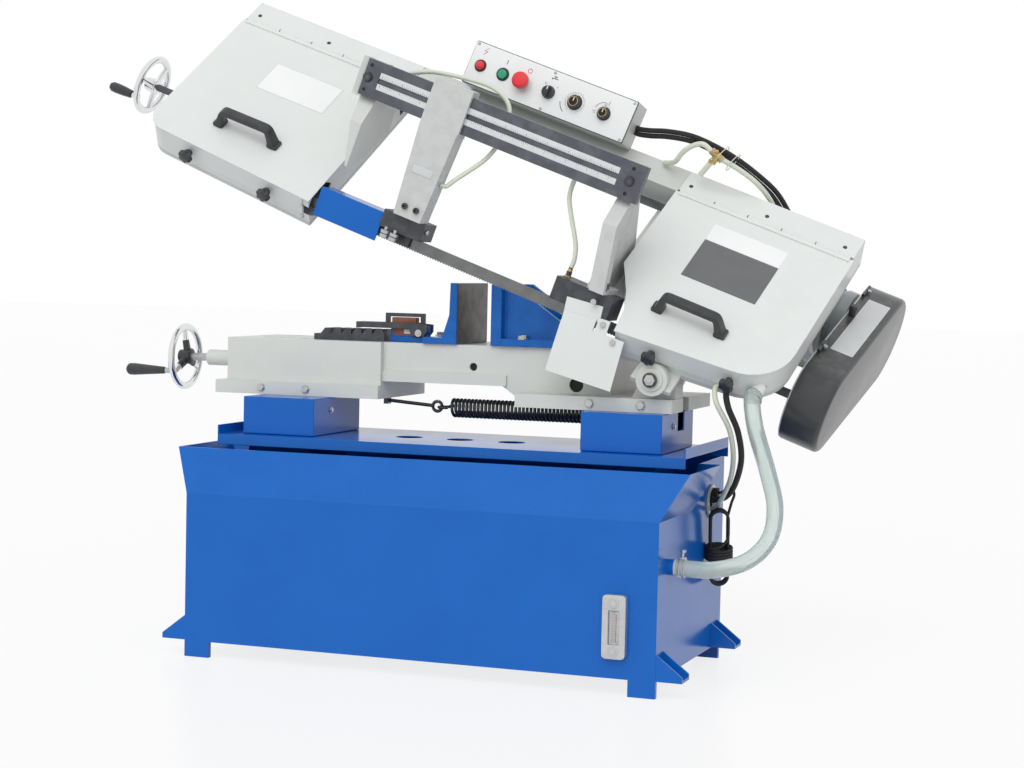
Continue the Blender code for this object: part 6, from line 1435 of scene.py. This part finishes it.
class SAW_OT_cords(SawOperator, bpy.types.Operator):
    """Lays the hoses, the cables, the mains lead with its hank, and winds the counter spring"""

    bl_idname = "saw.cords"
    bl_label = "Cords and spring"

    def execute(self, context):
        sizes = context.scene.saw_sizes
        y, z = SPRING_Y, SPRING_Z
        wound = coil((-0.029, y, z), (0.304, y, z), 0.0182, 0.0035, sizes.spring_turns, 10)
        hook = smooth_path([(-0.0275, y + 0.018, z), (-0.036, y + 0.0150, z + 0.003), (-0.047, y + 0.0165, z),
                            (-0.0585, y + 0.010, z), (-0.0615, y - 0.001, z), (-0.057, y - 0.012, z),
                            (-0.046, y - 0.0165, z), (-0.036, y - 0.013, z)], 6)
        tail = smooth_path([(0.3035, y + 0.0180, z), (0.309, y + 0.012, z), (0.316, y + 0.002, z), (0.330, y, z),
                            (0.440, y, z), (0.4490, y, z + 0.002), (0.4540, y, z + 0.0105), (0.4605, y, z + 0.0125),
                            (0.4700, y, z + 0.008), (0.4728, y, z), (0.4690, y, z - 0.009),
                            (0.4605, y, z - 0.0125), (0.4520, y, z - 0.009)], 5)
        spring = piece("counter_spring_wound", None,
                       {"spring_steel": [wound, tube(hook, 0.0033, 12), tube(tail, 0.0026, 12)]},
                       slot="blackened_steel", replaces=("counter_spring",))
        tuple(STAND.at((-0.045, y, z)))
        tuple(STAND.at((0.462, y, z)))
        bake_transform(spring)
        clear = clear_finish("clear_hose", (0.700, 0.780, 0.745), 0.16, 0.62, (0.620, 0.700, 0.660))
        for name, node, look, route, r, around, slot, low, high in (
            ("drain_hose_clear", "drain_hose", clear, DRAIN, 0.0172, 28, "clear_hose",
             (0.66, 0.10, 0.27), (0.675, 0.17, 0.600)),
            ("coolant_hose_milky", "coolant_hose", "milky_tube", COOLANT, 0.0054, 18, "milky_hose",
             (0.54, 0.39, 0.345), (0.592, 0.171, 0.612)),
            ("conduit_black", "conduit", "black_rubber", CONDUIT, 0.0064, 18, "black_rubber",
             (0.55, 0.388, 0.366), (0.616, 0.171, 0.604)),
        ):
            hose = piece(name, None, {look: [tube(smooth_path(route, 10), r, around)]}, slot=slot, replaces=(node,))
            tuple(STAND.at(low))
            tuple(STAND.at(high))
            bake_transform(hose)
        line = smooth_path(LEFT_HOSE, 8)
        left = piece("left_guide_hose_milky", None, {"milky_tube": [tube(line, 0.0049, 16)]}, BOW, slot="milky_hose",
                     replaces=("left_guide_hose",))
        tuple(BOW.at((-0.70, 0.056, 0.42)))
        tuple(BOW.at((-0.575, 0.022, 0.21)))
        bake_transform(left)
        piece("right_guide_hose_milky", "bow", {"milky_tube": [tube(smooth_path(RIGHT_HOSE, 8), 0.0049, 16)]}, BOW,
              slot="milky_hose",
              replaces=("right_guide_hose",))
        path = smooth_path(CABLES, 8)
        tangent = carried_axes(path)[0]
        up = np.array((0.0, -0.35, 0.94))
        lift = up - tangent * (tangent @ up)[:, None]
        lift /= np.linalg.norm(lift, axis=1)[:, None]
        piece("bow_cables_pair", "bow", {
            "black_rubber": [tube(path + lift * 0.0062, 0.0057, 18), tube(path - lift * 0.0060, 0.0057, 18)]}, BOW,
            slot="black_rubber", replaces=("bow_cables",))
        branch = smooth_path(BRANCH, 8)
        tee = np.array((-0.1180, 0.3125, 0.4640))
        through = (0.93, 0.05, -0.36)
        piece("branch_hose", "bow", {"milky_tube": [tube(branch, 0.0058, 18),
                                                    tube([tee + (-0.004, 0, -0.010), tee + (-0.022, 0.01, -0.052)],
                                                         0.0062, 18)]},
              BOW, slot="milky_hose")
        piece("branch_tap", "bow", {
            "brass": [turned([(-0.016, 0.0078), (-0.013, 0.0084), (0.013, 0.0084), (0.016, 0.0078)], tee, through,
                             24),
                      turned([(0, 0.0072), (0.014, 0.0072), (0.0142, 0.0088), (0.020, 0.0088)], tee,
                             (-0.30, 0.10, -0.95), 24),
                      turned([(0, 0.0050), (0.012, 0.0050)], tee, (-0.2, -0.6, 0.75), 20)],
            "zinc": [ring(tee + (0.014, 0.0008, -0.0054), through, 0.0076, 0.0012),
                     ring(tee + (-0.014, -0.0008, 0.0054), through, 0.0076, 0.0012)],
            "milky_tube": [ring(tee + (0.006, 0.014, 0.004), through, 0.0235, 0.0010, 48, 8),
                           ring(tee + (0.034, 0.020, -0.002), through, 0.0225, 0.0010, 48, 8)],
        }, BOW, slot="ground_steel")
        hank = hank_path((0.5620, 0.3550, 0.3480), (0.5580, 0.3820, 0.1850), (0.94, 0.34, 0.0), LEAD_BEND, LEAD_D, 4)
        lead = smooth_path([*LEAD[:-1], hank[0]], 8)
        whole = np.concatenate([lead[:-1], hank])
        mains = piece("mains_lead", "stand", {"black_rubber": [tube(whole, LEAD_D / 2, 14)]}, slot="black_rubber",
                      replaces=("power_cord", "cord_hank"))
        tuple(STAND.at(LEAD[0]))
        STAND.at(whole).tolist()
        clamps = []
        for x in (0.5500, 0.5545, 0.5640):
            clamps.append(ring((x, DRAIN_Y, DRAIN_Z), (1, 0, 0), 0.0186, 0.0013, 56, 10))
        clamps.append(turned([(0, 0.0030), (0.014, 0.0030), (0.0142, 0.0058), (0.019, 0.0058)],
                             (0.5570, DRAIN_Y, 0.2755), (0.15, 0, 1), 20))
        clamps.append(soft_box((0.5500, 0.0740, 0.2745), (0.5650, 0.0860, 0.2790), 0.0010))
        piece("hose_clamps", "stand", {"zinc": clamps}, slot="ground_steel")
        high = STAND.at(DRAIN[0])
        out = STAND.at(DRAIN[1]) - high
        piece("spout_clamp", "bow", {"zinc": [ring(high + out * 0.7, out, 0.0186, 0.0014, 56, 10)]},
              Place((0, 0, 0), np.eye(3)), slot="ground_steel")
        return {"FINISHED"}


# ---------------------------------------------------------------- panel and registration


ORDER = ("stage", "stand", "bed", "vise", "bow", "doors", "guides", "band", "drive", "controls", "cords")


class SAW_PT_panel(bpy.types.Panel):
    bl_idname = "SAW_PT_panel"
    bl_label = "Band saw"
    bl_space_type = "VIEW_3D"
    bl_region_type = "UI"
    bl_category = "Band saw"

    def draw(self, context):
        for settings in (context.scene.saw_sizes, context.scene.saw_colours):
            for name in settings.__annotations__:
                self.layout.prop(settings, name)
        for name in ORDER:
            self.layout.operator("saw." + name)


CLASSES = (SawSizes, SawColours, SAW_OT_stage, SAW_OT_stand, SAW_OT_bed, SAW_OT_vise, SAW_OT_bow, SAW_OT_doors,
           SAW_OT_guides,
           SAW_OT_band, SAW_OT_drive, SAW_OT_controls, SAW_OT_cords, SAW_PT_panel)


def register():
    """Adds the classes and puts the sizes and colours on the scene."""
    for cls in CLASSES:
        bpy.utils.register_class(cls)
    bpy.types.Scene.saw_sizes = PointerProperty(type=SawSizes)
    bpy.types.Scene.saw_colours = PointerProperty(type=SawColours)


def unregister():
    """Takes the sizes and colours off the scene and removes the classes."""
    del bpy.types.Scene.saw_colours
    del bpy.types.Scene.saw_sizes
    for cls in reversed(CLASSES):
        bpy.utils.unregister_class(cls)


def main():
    """Registers the add-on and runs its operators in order."""
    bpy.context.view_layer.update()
    register()
    build_groups()
    for name in ORDER:
        getattr(bpy.ops.saw, name)()


if __name__ == "__main__":
    main()
